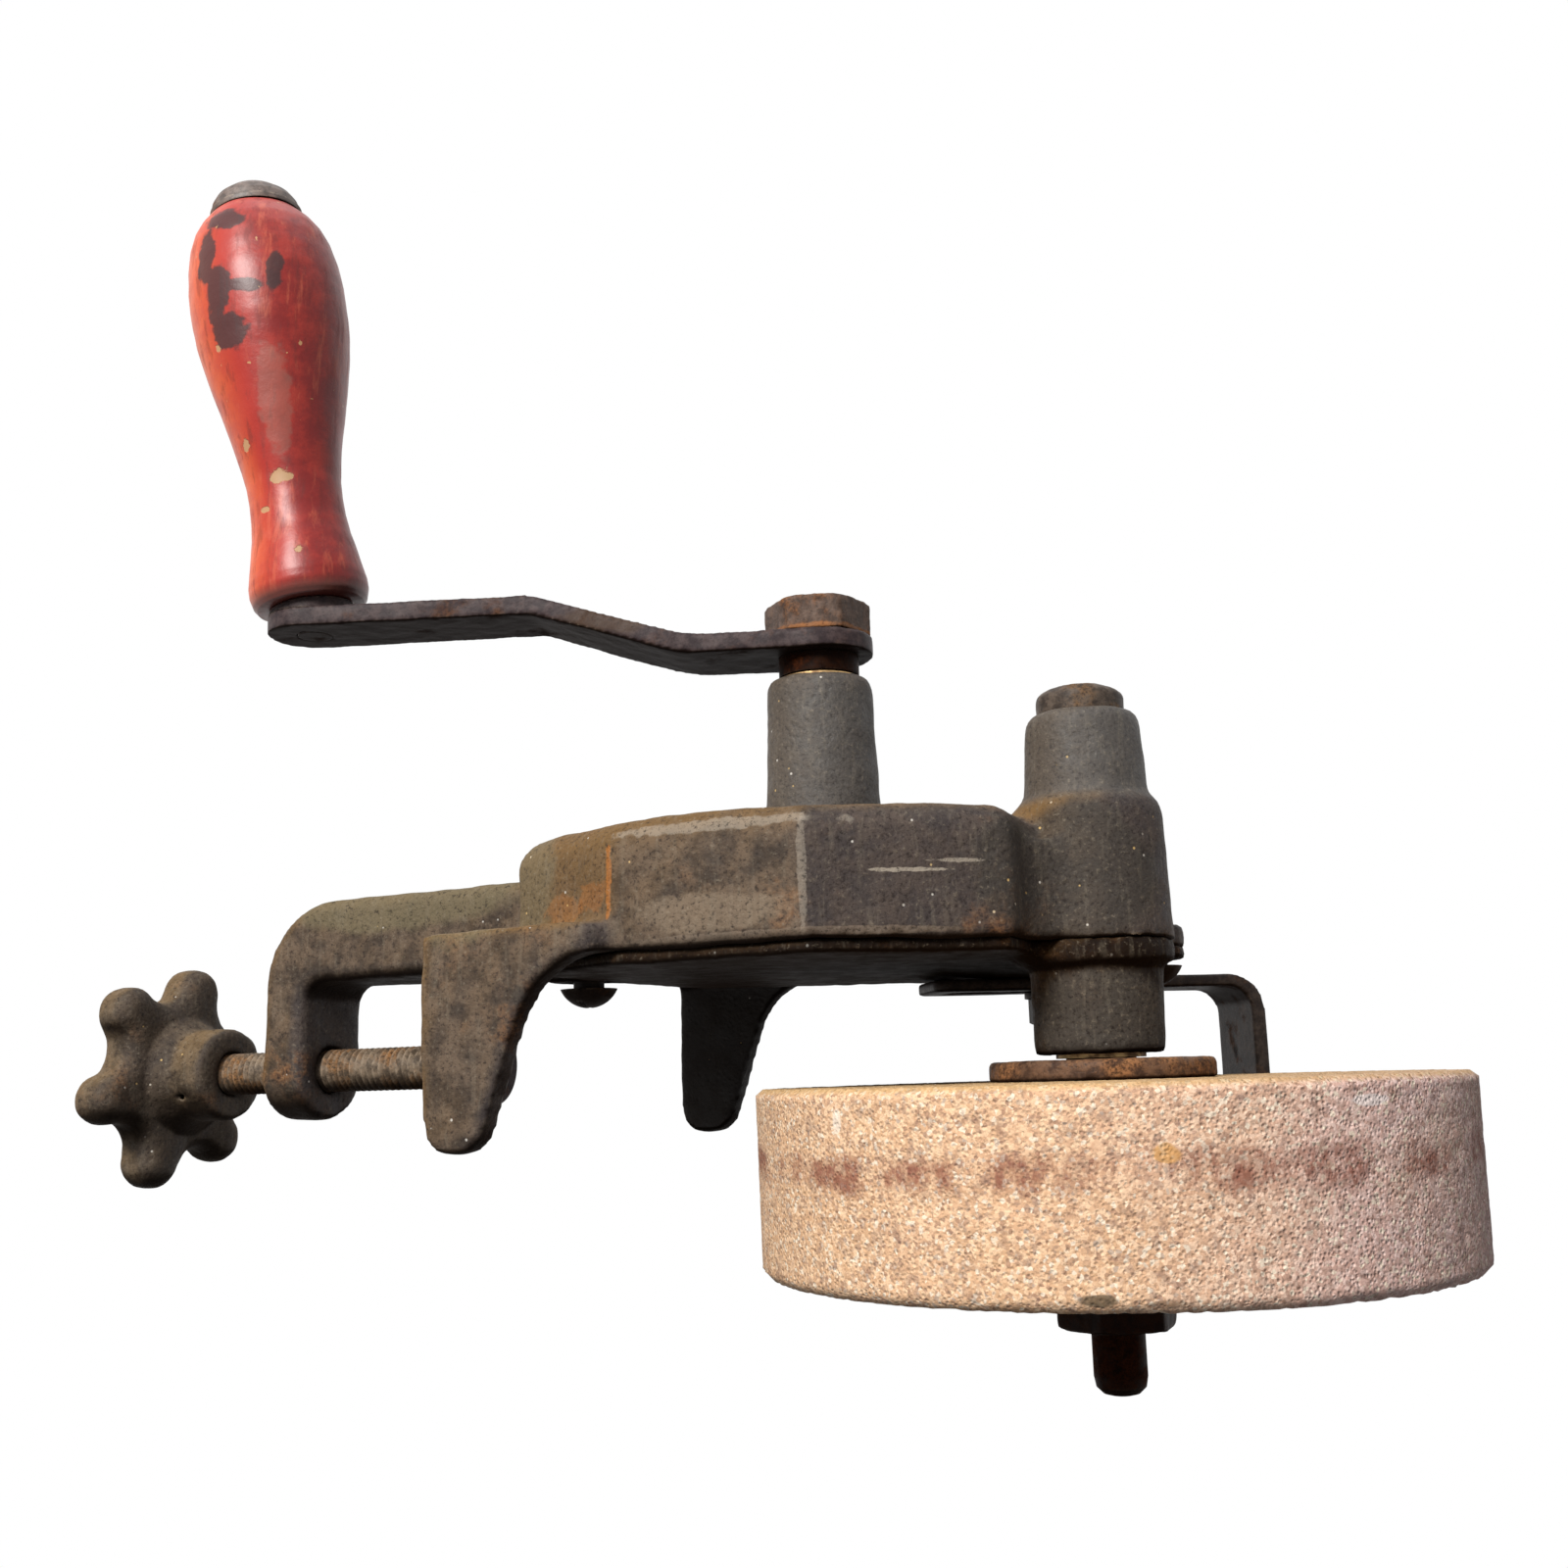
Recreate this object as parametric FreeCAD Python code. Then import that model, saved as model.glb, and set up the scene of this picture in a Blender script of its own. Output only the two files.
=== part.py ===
import FreeCAD, Part
import os
from math import acos, atan2, cos, pi, radians, sin, sqrt, tan

V = FreeCAD.Vector

# Hand-cranked bench grinder that clamps over the edge of a bench.
# Millimetres. Z is up, z = 0 is the bench top under the two feet, y = 0 is the joint
# between the gear case and its cover. The crank is on the -Y side, the wheel on the +Y side.

# Abrasive wheel and its arbor
WHEEL_R = 63.5
WHEEL_T = 31.75
WHEEL_WEAR = 0.9
WHEEL_EDGE_R = 1.6
WHEEL_BORE_R = 10.0
ARBOR_R = 6.35
ARBOR_THREAD_R = 4.76
ARBOR_END = 23.2
ARBOR_STEP = 1.5
ARBOR_TOP_CHAMFER = 0.8
ARBOR_END_ROUND = [(0.0, 3.2), (0.35, 1.4), (1.5, 0.3), (2.6, 0.0)]
FLANGE_R = 20.5
FLANGE_T = 3.6
FLANGE_DISH_R = 14.0
FLANGE_DISH = 0.8

# Gear pair, diametral pitch 20
TOOTH_MODULE = 1.27
TEETH_Y = -9.75
GEAR_TEETH = 70
PINION_TEETH = 14
PRESSURE_ANGLE = 25.0
BACKLASH = 0.16
GEAR_FACE = 8.0
PINION_FACE = 10.0
GEAR_RIM = 5.0
GEAR_WEB = 4.0
GEAR_HOLES = 5
GEAR_HOLE_R = 8.5
GEAR_HUB_R = 11.0
GEAR_HUB_END_Y = -2.0
GEAR_PIN_R = 1.5
GEAR_PIN_Y = -4.4
PINION_HUB_WALL = 1.25
PINION_ROOM = 1.2

# Gear case casting
CRANK_Z = 58.9
CASE_HALF_W = 50.0
CASE_DEPTH = 22.0
CASE_WALL = 3.2
GEAR_ROOM_R = 46.5
CASE_ROOF = 3.5
CASE_EDGE_R = 5.0
CRANK_BOSS_H = 35.0
CRANK_BOSS_TOP_R = 10.7
CRANK_BOSS_BASE_R = 11.7
ARBOR_BOSS_H = 21.2
ARBOR_BOSS_TOP_R = 10.7
ARBOR_BOSS_BASE_R = 11.6
ARBOR_WAIST_H = 3.0
ARBOR_WAIST_TOP_R = 14.0
ARBOR_WAIST_BASE_R = 14.8
ARBOR_WAIST_ROUND = 2.6
BOSS_ROUND = 2.4
BOSS_FLARE = 2.4
WEB_R = 11.0
WEB_SINK = 0.3
# Right half of the eight-sided outline as (x, height over the crank), from the floor up
CASE_HALF = [(35.7, -49.5), (CASE_HALF_W, -20.7), (50.3, 16.9), (28.4, 46.6)]

# Feet and the flange that carries them
FOOT_OUTER_X = 53.3
FOOT_T = 5.2
FOOT_DROP = 35.0
FOOT_TOE_R = 5.5
FOOT_TIP_ROUND = (34.1, 10.2)
FOOT_SHOULDER = (30.5, 13.2)
FOOT_WAIST = (10.6, 20.3)
FOOT_BULGE = (3.4, 26.3)
SEAT_FLANGE_T = 5.0
SEAT_FLANGE_Z = 37.0
SEAT_FLANGE_CORNER_R = 4.0

# Clamp arm, its boss and the screw
ARM_HALF_W = 11.0
ARM_BACK_Y = -19.3
ARM_FACE_Y = -0.9
ARM_OUTER_Z = -75.2
ARM_JAW_T = 11.2
ARM_OUTER_R = 19.0
ARM_INNER_R = 5.0
ARM_EDGE_R = 2.6
SCREW_Y = 18.4
SCREW_R = 4.76
SCREW_BALL_R = 2.5
SCREW_NECK_R = 2.2
SCREW_NECK_L = 2.5
JAW_EDGE_R = 1.5
PAD_FACE_Z = -20.0
PAD_R = 8.6
PAD_T = 5.0
PAD_RIM_T = 1.8
PAD_BACK_R = 6.2
KNOB_HUB_R = 10.6
KNOB_HUB_TOP_Z = -93.0
KNOB_HUB_L = 14.5
KNOB_STAR_T = 11.2
KNOB_LOBES = 6
KNOB_LOBE_R = 5.9
KNOB_LOBE_CENTRE = 20.5
KNOB_VALLEY_R = 18.0
KNOB_TURN = 12.7
KNOB_ROUND = 4.6
KNOB_PIN_R = 1.6
KNOB_SKIRT_R = 15.0
KNOB_SKIRT_H = 6.5
KNOB_SCREW_RECESS = 1.0
KNOB_HUB_CHAMFER = 1.0

# Cover with the lower arbor tube
COVER_T = 3.7
COVER_SET_IN = 1.5
COVER_COLLAR_R = 14.5
COVER_COLLAR_H = 5.3
TUBE_END_Y = 21.0
TUBE_TOP_R = 12.3
TUBE_END_R = 11.7
LUG_R = 6.6
LUG_T = 4.0
LUG_FLOOR_Z = 0.4
TOE_SCREW_X = 6.5
TOE_SCREW_Z = 7.6
TOE_SCREW_L = 13.0
CORNER_SCREW_X = -21.0
CORNER_SCREW_Z = 118.2
CORNER_SCREW_L = 8.2
SCREW_HEAD_R = 5.9
SCREW_HEAD_H = 3.9
SCREW_SLOT_W = 1.4
SCREW_SLOT_H = 1.5
CAP_FLANGE_R = 8.2
CAP_SIDE = 2.8
CAP_DOME = 3.0
CAP_PLUG_L = 3.2
EAR_WEB = [(-30.0, 64.0), (-14.0, 94.0)]

# Plain bearings
BUSH_WALL = 1.75
CRANK_SHAFT_R = 6.35
RUNNING_FIT = 0.05
END_PLAY = 0.3

# Crank
CRANK_THROW = 106.4
CRANK_REST_ANGLE = 20.0
CRANK_ARM_T = 4.0
CRANK_ARM_W = 15.0
CRANK_EYE_R = 11.3
CRANK_TIP_R = 9.2
CRANK_BEND_FROM = 27.0
CRANK_BEND_TO = 58.0
CRANK_OFFSET = 10.0
CRANK_LOW_BEND_R = 24.0
CRANK_HIGH_BEND_R = 8.0
CRANK_NECK = 23.7
CRANK_EYE_TANGENT = 21.0
CRANK_COLLAR_R = 8.2
CRANK_COLLAR_T = 4.1
CRANK_THREAD_R = 5.55
CRANK_END_DOME = [(0.0, 1.4), (2.6, 1.2), (4.6, 0.0)]
CRANK_END_EDGE = 1.2
NUT_AF = 19.05
CRANK_NUT_T = 7.2
CRANK_NUT_TURN = 12.0
NUT_CHAMFER = 1.2
ARBOR_NUT_T = 8.2

# Handle
PIN_LEAN = 9.0
PIN_R = 3.5
RIVET_R = 5.0
RIVET_H = 2.4
HANDLE_WASHER_R = 8.6
HANDLE_WASHER_T = 1.9
GRIP_L = 90.5
GRIP_BORE_R = 3.56
# Outline of the grip as (radius, height over its foot)
GRIP_PROFILE = [(10.6, 0.0), (11.7, 2.0), (12.0, 5.2), (10.7, 11.8), (9.5, 19.8), (9.6, 27.8), (11.0, 35.8),
                (13.0, 45.2), (15.1, 56.5), (16.0, 65.0), (16.1, 71.6), (14.9, 82.0), (12.2, 87.6)]
GRIP_TOP_R = 10.0
CAP_R = 9.8
CAP_H = 7.6
CAP_RIM = 1.2

# Tool rest
REST_W = 19.0
REST_T = 2.8
REST_TURN = 32.5
REST_BOLT_X = -48.3
REST_BOLT_Z = 92.0
REST_SETBACK = 20.5
REST_TAIL = 29.0
REST_BEND_R = 8.0
REST_DROP = 50.0
REST_SLOT_W = 6.9
REST_SLOT_BACK = 21.0
REST_SLOT_FRONT = 6.0
REST_EAR_R = 9.2
REST_CORNER_R = 3.0

# Quarter-inch fasteners
BOLT_R = 3.175
BOLT_HOLE_R = 3.4
SMALL_NUT_AF = 11.1
SMALL_NUT_T = 5.5
BOLT_HEAD_T = 4.2
BOLT_END = 1.5
WASHER_T = 1.2
WASHER_R = 7.0

# Worked out from the values above
REST_REACH = WHEEL_R - REST_SETBACK
CENTRES = TOOTH_MODULE * (GEAR_TEETH + PINION_TEETH) / 2
ARBOR_Z = CRANK_Z + CENTRES
CRANK_BOSS_Y = -CASE_DEPTH - CRANK_BOSS_H
ARBOR_BOSS_Y = -CASE_DEPTH - ARBOR_BOSS_H
ARBOR_WAIST_Y = -CASE_DEPTH - ARBOR_WAIST_H
POCKET_Y = -CASE_DEPTH + CASE_ROOF
CASE_FLOOR_Z = CRANK_Z + CASE_HALF[0][1]
WHEEL_Y = TUBE_END_Y + END_PLAY + FLANGE_T
WHEEL_END_Y = WHEEL_Y + WHEEL_T
NUT_Y = WHEEL_END_Y + FLANGE_T
COLLAR_Y = CRANK_BOSS_Y - END_PLAY
ARM_Y = COLLAR_Y - CRANK_COLLAR_T
BUSH_R = ARBOR_R + RUNNING_FIT + BUSH_WALL
CRANK_BUSH_R = CRANK_SHAFT_R + RUNNING_FIT + BUSH_WALL
REST_Y = COVER_T
AXIS_Y = V(0, 1, 0)
AXIS_Z = V(0, 0, 1)


def cyl_y(r, y0, y1, x=0.0, z=0.0):
    return Part.makeCylinder(r, y1 - y0, V(x, y0, z), AXIS_Y)


def cyl_z(r, z0, z1, x=0.0, y=0.0):
    return Part.makeCylinder(r, z1 - z0, V(x, y, z0), AXIS_Z)


def spun_y(points, z, x=0.0):
    # a closed (radius, y) outline turned about the axis through (x, z)
    ring = Part.makePolygon([V(x + r, y, z) for r, y in points + points[:1]])
    return Part.Face(ring).revolve(V(x, 0, z), AXIS_Y, 360)


def hex_y(across_flats, y0, y1, x, z, chamfer=0.9):
    # hexagon bar along Y with its y0 end chamfered round the corners
    r = across_flats / sqrt(3)
    ring = [V(x + r * cos(radians(60 * k)), y0, z + r * sin(radians(60 * k))) for k in range(7)]
    bar = Part.Face(Part.makePolygon(ring)).extrude(V(0, y1 - y0, 0))
    lens = Part.makeCone(r - chamfer, r - chamfer + (y1 - y0) * 2.2, y1 - y0, V(x, y0, z), AXIS_Y)
    return bar.common(lens)


def prism_y(points, y0, y1):
    # an (x, z) outline pulled from y0 to y1
    ring = Part.makePolygon([V(x, y0, z) for x, z in points + points[:1]])
    return Part.Face(ring).extrude(V(0, y1 - y0, 0))


def case_outline(inset):
    # the eight-sided outline drawn in toward the crank axis
    scale = 1 - inset / CASE_HALF_W
    right = [(x * scale, CRANK_Z + h * scale) for x, h in CASE_HALF]
    return right + [(-x, z) for x, z in reversed(right)]


def edges_at_y(shape, y):
    return [e for e in shape.Edges if all(abs(v.Y - y) < 1e-6 for v in e.Vertexes)]


# Gear case casting
def boss_outline(top_r, base_r, top_y, base_y, flare):
    # half section of a drafted boss with a rounded crown and a flared foot
    steps = [radians(a) for a in (0, 30, 60, 90)]
    crown_r = top_r - BOSS_ROUND
    crown = [(crown_r + BOSS_ROUND * sin(a), top_y + BOSS_ROUND * (1 - cos(a))) for a in steps]
    foot = [(base_r + flare * (1 - cos(a)), base_y - flare * (1 - sin(a))) for a in steps]
    return [(0, top_y)] + crown + foot + [(0, base_y)]


def case_shell():
    body = prism_y(case_outline(0), -CASE_DEPTH, 0)
    body = body.makeFillet(CASE_EDGE_R, edges_at_y(body, -CASE_DEPTH))
    tall = boss_outline(CRANK_BOSS_TOP_R, CRANK_BOSS_BASE_R, CRANK_BOSS_Y, -CASE_DEPTH, BOSS_FLARE)
    crank = spun_y(tall, CRANK_Z)
    turns = [radians(a) for a in (0, 30, 60, 90)]
    shoulder = [(ARBOR_WAIST_TOP_R - ARBOR_WAIST_ROUND * (1 - sin(a)),
                 ARBOR_WAIST_Y + ARBOR_WAIST_ROUND * (1 - cos(a))) for a in turns]
    waist = spun_y([(0, ARBOR_WAIST_Y)] + shoulder + [(ARBOR_WAIST_BASE_R, 0), (0, 0)], ARBOR_Z)
    crown = boss_outline(ARBOR_BOSS_TOP_R, ARBOR_BOSS_BASE_R, ARBOR_BOSS_Y, ARBOR_WAIST_Y, BOSS_FLARE / 2)
    return body.fuse([crank, waist, spun_y(crown, ARBOR_Z), waist_blend()])


def waist_blend():
    # hollow webs that carry the top facet of the case round into the arbor boss
    facet_z = CRANK_Z + CASE_HALF[-1][1] - WEB_SINK
    low_z = facet_z - 1
    reach = ARBOR_WAIST_TOP_R - WEB_SINK + WEB_R
    rise = facet_z + WEB_R - ARBOR_Z
    centre_x = sqrt(reach ** 2 - rise ** 2)
    lean = (pi / 2 + atan2(rise, centre_x)) / 2
    webs = []
    for side in (-1, 1):
        start = V(side * centre_x, 0, facet_z)
        mid = V(side * (centre_x - WEB_R * sin(lean)), 0, facet_z + WEB_R * (1 - cos(lean)))
        share = 1 - WEB_R / reach
        end = V(side * centre_x * share, 0, ARBOR_Z + rise * share)
        corners = [end, V(0, 0, end.z), V(0, 0, low_z), V(side * centre_x, 0, low_z), start]
        sides = [Part.makeLine(near, far) for near, far in zip(corners, corners[1:])]
        ring = Part.Wire([Part.Arc(start, mid, end).toShape()] + sides)
        webs.append(Part.Face(ring).extrude(V(0, CASE_EDGE_R - CASE_DEPTH, 0)))
    return webs[0].fuse(webs[1])


def foot(x0):
    # one foot: a plate that stands on the bench top and swings up into the seat flange
    c45 = 1 - cos(pi / 4)
    heel = V(x0, -SEAT_FLANGE_T, SEAT_FLANGE_Z)
    heel_low = V(x0, -SEAT_FLANGE_T, 0)
    low = V(x0, FOOT_DROP - FOOT_TOE_R, 0)
    low_round = V(x0, FOOT_DROP - FOOT_TOE_R * c45, FOOT_TOE_R * c45)
    tip = V(x0, FOOT_DROP, FOOT_TOE_R)
    tip_round, shoulder, waist, bulge = [
        V(x0, y, z) for y, z in (FOOT_TIP_ROUND, FOOT_SHOULDER, FOOT_WAIST, FOOT_BULGE)]
    top = V(x0, 0, SEAT_FLANGE_Z)
    edges = [Part.makeLine(heel, heel_low), Part.makeLine(heel_low, low),
             Part.Arc(low, low_round, tip).toShape(), Part.Arc(tip, tip_round, shoulder).toShape(),
             Part.makeLine(shoulder, waist), Part.Arc(waist, bulge, top).toShape(), Part.makeLine(top, heel)]
    return Part.Face(Part.Wire(edges)).extrude(V(FOOT_T, 0, 0))


def clamp_arm():
    # C-shaped arm with a square back and a round outer corner; its end is round about the screw
    root_z = CASE_FLOOR_Z + CASE_WALL
    x = -ARM_HALF_W
    jaw_top = ARM_OUTER_Z + ARM_JAW_T
    c45 = 1 - cos(pi / 4)
    a = V(x, ARM_BACK_Y, root_z)
    b = V(x, ARM_BACK_Y, ARM_OUTER_Z + ARM_OUTER_R)
    b_mid = V(x, ARM_BACK_Y + ARM_OUTER_R * c45, ARM_OUTER_Z + ARM_OUTER_R * c45)
    c = V(x, ARM_BACK_Y + ARM_OUTER_R, ARM_OUTER_Z)
    d = V(x, SCREW_Y, ARM_OUTER_Z)
    e = V(x, SCREW_Y, jaw_top)
    f = V(x, ARM_FACE_Y + ARM_INNER_R, jaw_top)
    f_mid = V(x, ARM_FACE_Y + ARM_INNER_R * c45, jaw_top + ARM_INNER_R * c45)
    g = V(x, ARM_FACE_Y, jaw_top + ARM_INNER_R)
    h = V(x, ARM_FACE_Y, root_z)
    outer = Part.Arc(b, b_mid, c).toShape()
    inner = Part.Arc(f, f_mid, g).toShape()
    straight = [Part.makeLine(start, end) for start, end in ((a, b), (c, d), (d, e), (e, f), (g, h), (h, a))]
    ring = Part.Wire(straight[:1] + [outer] + straight[1:4] + [inner] + straight[4:])
    arm = Part.Face(ring).extrude(V(2 * ARM_HALF_W, 0, 0))
    long_edges = [k for k in arm.Edges if abs(abs(k.CenterOfMass.x) - ARM_HALF_W) < 1e-6]
    outline = [k for k in long_edges if k.CenterOfMass.z < root_z - 1 and k.CenterOfMass.y < SCREW_Y - 0.1]
    arm = arm.makeFillet(ARM_EDGE_R, outline)
    tip = cyl_z(ARM_HALF_W, ARM_OUTER_Z, jaw_top, 0, SCREW_Y)
    rims = [e for e in tip.Edges if e.Curve.TypeId == "Part::GeomCircle"]
    return arm.fuse(tip.makeFillet(JAW_EDGE_R, rims))


def frame_casting():
    low = V(-FOOT_OUTER_X, -SEAT_FLANGE_T, 0)
    plate = Part.makeBox(2 * FOOT_OUTER_X, SEAT_FLANGE_T, SEAT_FLANGE_Z, low)
    plate = plate.fuse([foot(FOOT_OUTER_X - FOOT_T), foot(-FOOT_OUTER_X)]).removeSplitter()
    corners = [e for e in plate.Edges if abs(e.CenterOfMass.z - SEAT_FLANGE_Z) < 1e-6
               and abs(abs(e.CenterOfMass.x) - FOOT_OUTER_X) < 1e-6]
    plate = plate.makeFillet(SEAT_FLANGE_CORNER_R, corners)
    lug = cyl_y(LUG_R, -LUG_T, 0, CORNER_SCREW_X, CORNER_SCREW_Z)
    lug = lug.fuse(corner_web(-LUG_T, 0))
    body = plate
    for piece in (clamp_arm(), case_shell(), lug):
        body = body.fuse(piece)
    pocket = prism_y(case_outline(CASE_WALL), POCKET_Y, 1)
    gear_room = cyl_y(GEAR_ROOM_R, POCKET_Y, 1, 0, CRANK_Z)
    pinion_room = cyl_y(TOOTH_MODULE * (PINION_TEETH / 2 + 1) + PINION_ROOM, POCKET_Y, 1, 0, ARBOR_Z)
    crank_bore = cyl_y(CRANK_BUSH_R, CRANK_BOSS_Y - 1, 0, 0, CRANK_Z)
    arbor_bore = cyl_y(BUSH_R, ARBOR_BOSS_Y - 1, 0, 0, ARBOR_Z)
    screw_bore = cyl_z(SCREW_R + RUNNING_FIT, ARM_OUTER_Z - 1, ARM_OUTER_Z + ARM_JAW_T + 1, 0, SCREW_Y)
    toe_hole = cyl_y(BOLT_R, COVER_T - TOE_SCREW_L - 1, 1, TOE_SCREW_X, TOE_SCREW_Z)
    corner_hole = cyl_y(BOLT_R, -LUG_T - 1, 1, CORNER_SCREW_X, CORNER_SCREW_Z)
    rooms = [pocket, gear_room, pinion_room]
    body = body.cut(rooms + [crank_bore, arbor_bore, screw_bore, toe_hole, corner_hole])
    return body.removeSplitter()


def corner_web(y0, y1):
    # joins the corner screw's lug to the arbor boss
    lug_ends = [(CORNER_SCREW_X, CORNER_SCREW_Z - LUG_R), (CORNER_SCREW_X, CORNER_SCREW_Z + LUG_R)]
    return prism_y(lug_ends + [(0, ARBOR_Z + LUG_R), (0, ARBOR_Z - LUG_R)], y0, y1)


# Cover
def case_cover():
    plate = prism_y(case_outline(COVER_SET_IN), 0, COVER_T)
    collar = cyl_y(COVER_COLLAR_R, 0, COVER_COLLAR_H, 0, ARBOR_Z)
    tube = Part.makeCone(TUBE_TOP_R, TUBE_END_R, TUBE_END_Y, V(0, 0, ARBOR_Z), AXIS_Y)
    lug_low = V(TOE_SCREW_X - LUG_R, 0, LUG_FLOOR_Z)
    toe_lug = Part.makeBox(2 * LUG_R, COVER_T, CASE_FLOOR_Z - LUG_FLOOR_Z + LUG_R, lug_low)
    corner_lug = cyl_y(LUG_R, 0, COVER_T, CORNER_SCREW_X, CORNER_SCREW_Z)
    ear = cyl_y(REST_EAR_R, 0, COVER_T, REST_BOLT_X, REST_BOLT_Z)
    ear_web = prism_y([(REST_BOLT_X, REST_BOLT_Z + REST_EAR_R), (REST_BOLT_X - REST_EAR_R, REST_BOLT_Z)]
                      + EAR_WEB, 0, COVER_T)
    body = plate.fuse([collar, tube, toe_lug, corner_lug, corner_web(0, COVER_T), ear, ear_web])
    bore = cyl_y(BUSH_R, -1, TUBE_END_Y + 1, 0, ARBOR_Z)
    spots = [(TOE_SCREW_X, TOE_SCREW_Z), (CORNER_SCREW_X, CORNER_SCREW_Z), (REST_BOLT_X, REST_BOLT_Z)]
    holes = [cyl_y(BOLT_HOLE_R, -1, COVER_T + 1, x, z) for x, z in spots]
    return body.cut([bore] + holes).removeSplitter()


def cover_screw(x, z, length):
    # slotted round-head screw, its head on the outside of the cover
    ball_r = (SCREW_HEAD_R ** 2 + SCREW_HEAD_H ** 2) / (2 * SCREW_HEAD_H)
    head = Part.makeSphere(ball_r, V(x, COVER_T + SCREW_HEAD_H - ball_r, z))
    head = head.common(cyl_y(SCREW_HEAD_R, COVER_T, COVER_T + SCREW_HEAD_H, x, z))
    slot_low = V(x - SCREW_HEAD_R, COVER_T + SCREW_HEAD_H - SCREW_SLOT_H, z - SCREW_SLOT_W / 2)
    slot = Part.makeBox(2 * SCREW_HEAD_R, SCREW_SLOT_H + 1, SCREW_SLOT_W, slot_low)
    return head.cut(slot).fuse(cyl_y(BOLT_R, COVER_T - length, COVER_T, x, z))


# Gears
def involute_flank(teeth, root_r, tip_r, steps):
    # points of one flank as (radius, half angle of the tooth there)
    pitch_r = TOOTH_MODULE * teeth / 2
    base_r = pitch_r * cos(radians(PRESSURE_ANGLE))
    half_pitch = (pi * TOOTH_MODULE / 2 - BACKLASH) / (2 * pitch_r)
    phi = radians(PRESSURE_ANGLE)
    inv_pitch = tan(phi) - phi
    points = [(root_r, half_pitch + inv_pitch)] if root_r < base_r else []
    start_r = max(root_r, base_r)
    for k in range(steps + 1):
        r = start_r + (tip_r - start_r) * k / steps
        a = acos(min(1.0, base_r / r))
        points.append((r, half_pitch + inv_pitch - (tan(a) - a)))
    return points


def toothed_disc(teeth, steps, y0, y1, z, first_angle):
    # involute spur gear with a tooth centred on first_angle, measured from +X toward +Z
    pitch_r = TOOTH_MODULE * teeth / 2
    flank = involute_flank(teeth, pitch_r - 1.25 * TOOTH_MODULE, pitch_r + TOOTH_MODULE, steps)
    outline = []
    for k in range(teeth):
        mid = first_angle + 2 * pi * k / teeth
        outline += [(r * cos(mid - h), z + r * sin(mid - h)) for r, h in flank]
        outline += [(r * cos(mid + h), z + r * sin(mid + h)) for r, h in reversed(flank)]
    return prism_y(outline, y0, y1)


def crank_gear():
    y0 = TEETH_Y - GEAR_FACE / 2
    y1 = TEETH_Y + GEAR_FACE / 2
    disc = toothed_disc(GEAR_TEETH, 2, y0, y1, CRANK_Z, pi / 2)
    rim_r = TOOTH_MODULE * (GEAR_TEETH / 2 - 1.25) - GEAR_RIM
    side = (GEAR_FACE - GEAR_WEB) / 2
    hollow = cyl_y(rim_r, y0 - 1, y0 + side, 0, CRANK_Z).fuse(cyl_y(rim_r, y1 - side, y1 + 1, 0, CRANK_Z))
    hub = cyl_y(GEAR_HUB_R, POCKET_Y + END_PLAY, GEAR_HUB_END_Y, 0, CRANK_Z)
    bore = cyl_y(CRANK_SHAFT_R, POCKET_Y - 1, 1, 0, CRANK_Z)
    mid_r = (rim_r + GEAR_HUB_R) / 2
    turns = [2 * pi * (k + 0.5) / GEAR_HOLES for k in range(GEAR_HOLES)]
    holes = [cyl_y(GEAR_HOLE_R, y0 - 1, y1 + 1, mid_r * cos(t), CRANK_Z + mid_r * sin(t)) for t in turns]
    return disc.cut([hollow] + holes).fuse(hub).cut([bore, gear_pin()])


def gear_pin():
    # straight pin through hub and shaft, its ends just below the hub's surface
    half = GEAR_HUB_R - 0.5
    return Part.makeCylinder(GEAR_PIN_R, 2 * half, V(-half, GEAR_PIN_Y, CRANK_Z), V(1, 0, 0))


def crank_shaft():
    y_top = ARM_Y - CRANK_ARM_T - CRANK_NUT_T
    outline = [(r, y_top - rise) for r, rise in CRANK_END_DOME]
    outline += [(CRANK_THREAD_R, y_top + CRANK_END_EDGE), (CRANK_THREAD_R, ARM_Y), (CRANK_COLLAR_R, ARM_Y),
                (CRANK_COLLAR_R, COLLAR_Y), (CRANK_SHAFT_R, COLLAR_Y), (CRANK_SHAFT_R, GEAR_HUB_END_Y),
                (0, GEAR_HUB_END_Y)]
    return spun_y(outline, CRANK_Z).cut(gear_pin())


def crank_bush():
    tube = cyl_y(CRANK_BUSH_R, CRANK_BOSS_Y, POCKET_Y, 0, CRANK_Z)
    return tube.cut(cyl_y(CRANK_SHAFT_R + RUNNING_FIT, CRANK_BOSS_Y - 1, 0, 0, CRANK_Z))


# Arbor
def arbor_shaft():
    y_top = ARBOR_BOSS_Y + CAP_PLUG_L + 2 * END_PLAY
    end = WHEEL_END_Y + ARBOR_END
    step = WHEEL_END_Y - ARBOR_STEP
    outline = [(0, y_top), (ARBOR_R - ARBOR_TOP_CHAMFER, y_top), (ARBOR_R, y_top + ARBOR_TOP_CHAMFER),
               (ARBOR_R, step), (ARBOR_THREAD_R, step)]
    outline += [(ARBOR_THREAD_R - loss, end - back) for loss, back in ARBOR_END_ROUND]
    return spun_y(outline + [(0, end)], ARBOR_Z)


def arbor_pinion():
    # the space between two teeth faces straight down, where the crank gear has a tooth
    first = -pi / 2 + pi / PINION_TEETH
    half = PINION_FACE / 2
    disc = toothed_disc(PINION_TEETH, 3, TEETH_Y - half, TEETH_Y + half, ARBOR_Z, first)
    hub = cyl_y(ARBOR_R + PINION_HUB_WALL, POCKET_Y + END_PLAY, -END_PLAY, 0, ARBOR_Z)
    return disc.fuse(hub).cut(cyl_y(ARBOR_R, POCKET_Y, 1, 0, ARBOR_Z))


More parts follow.
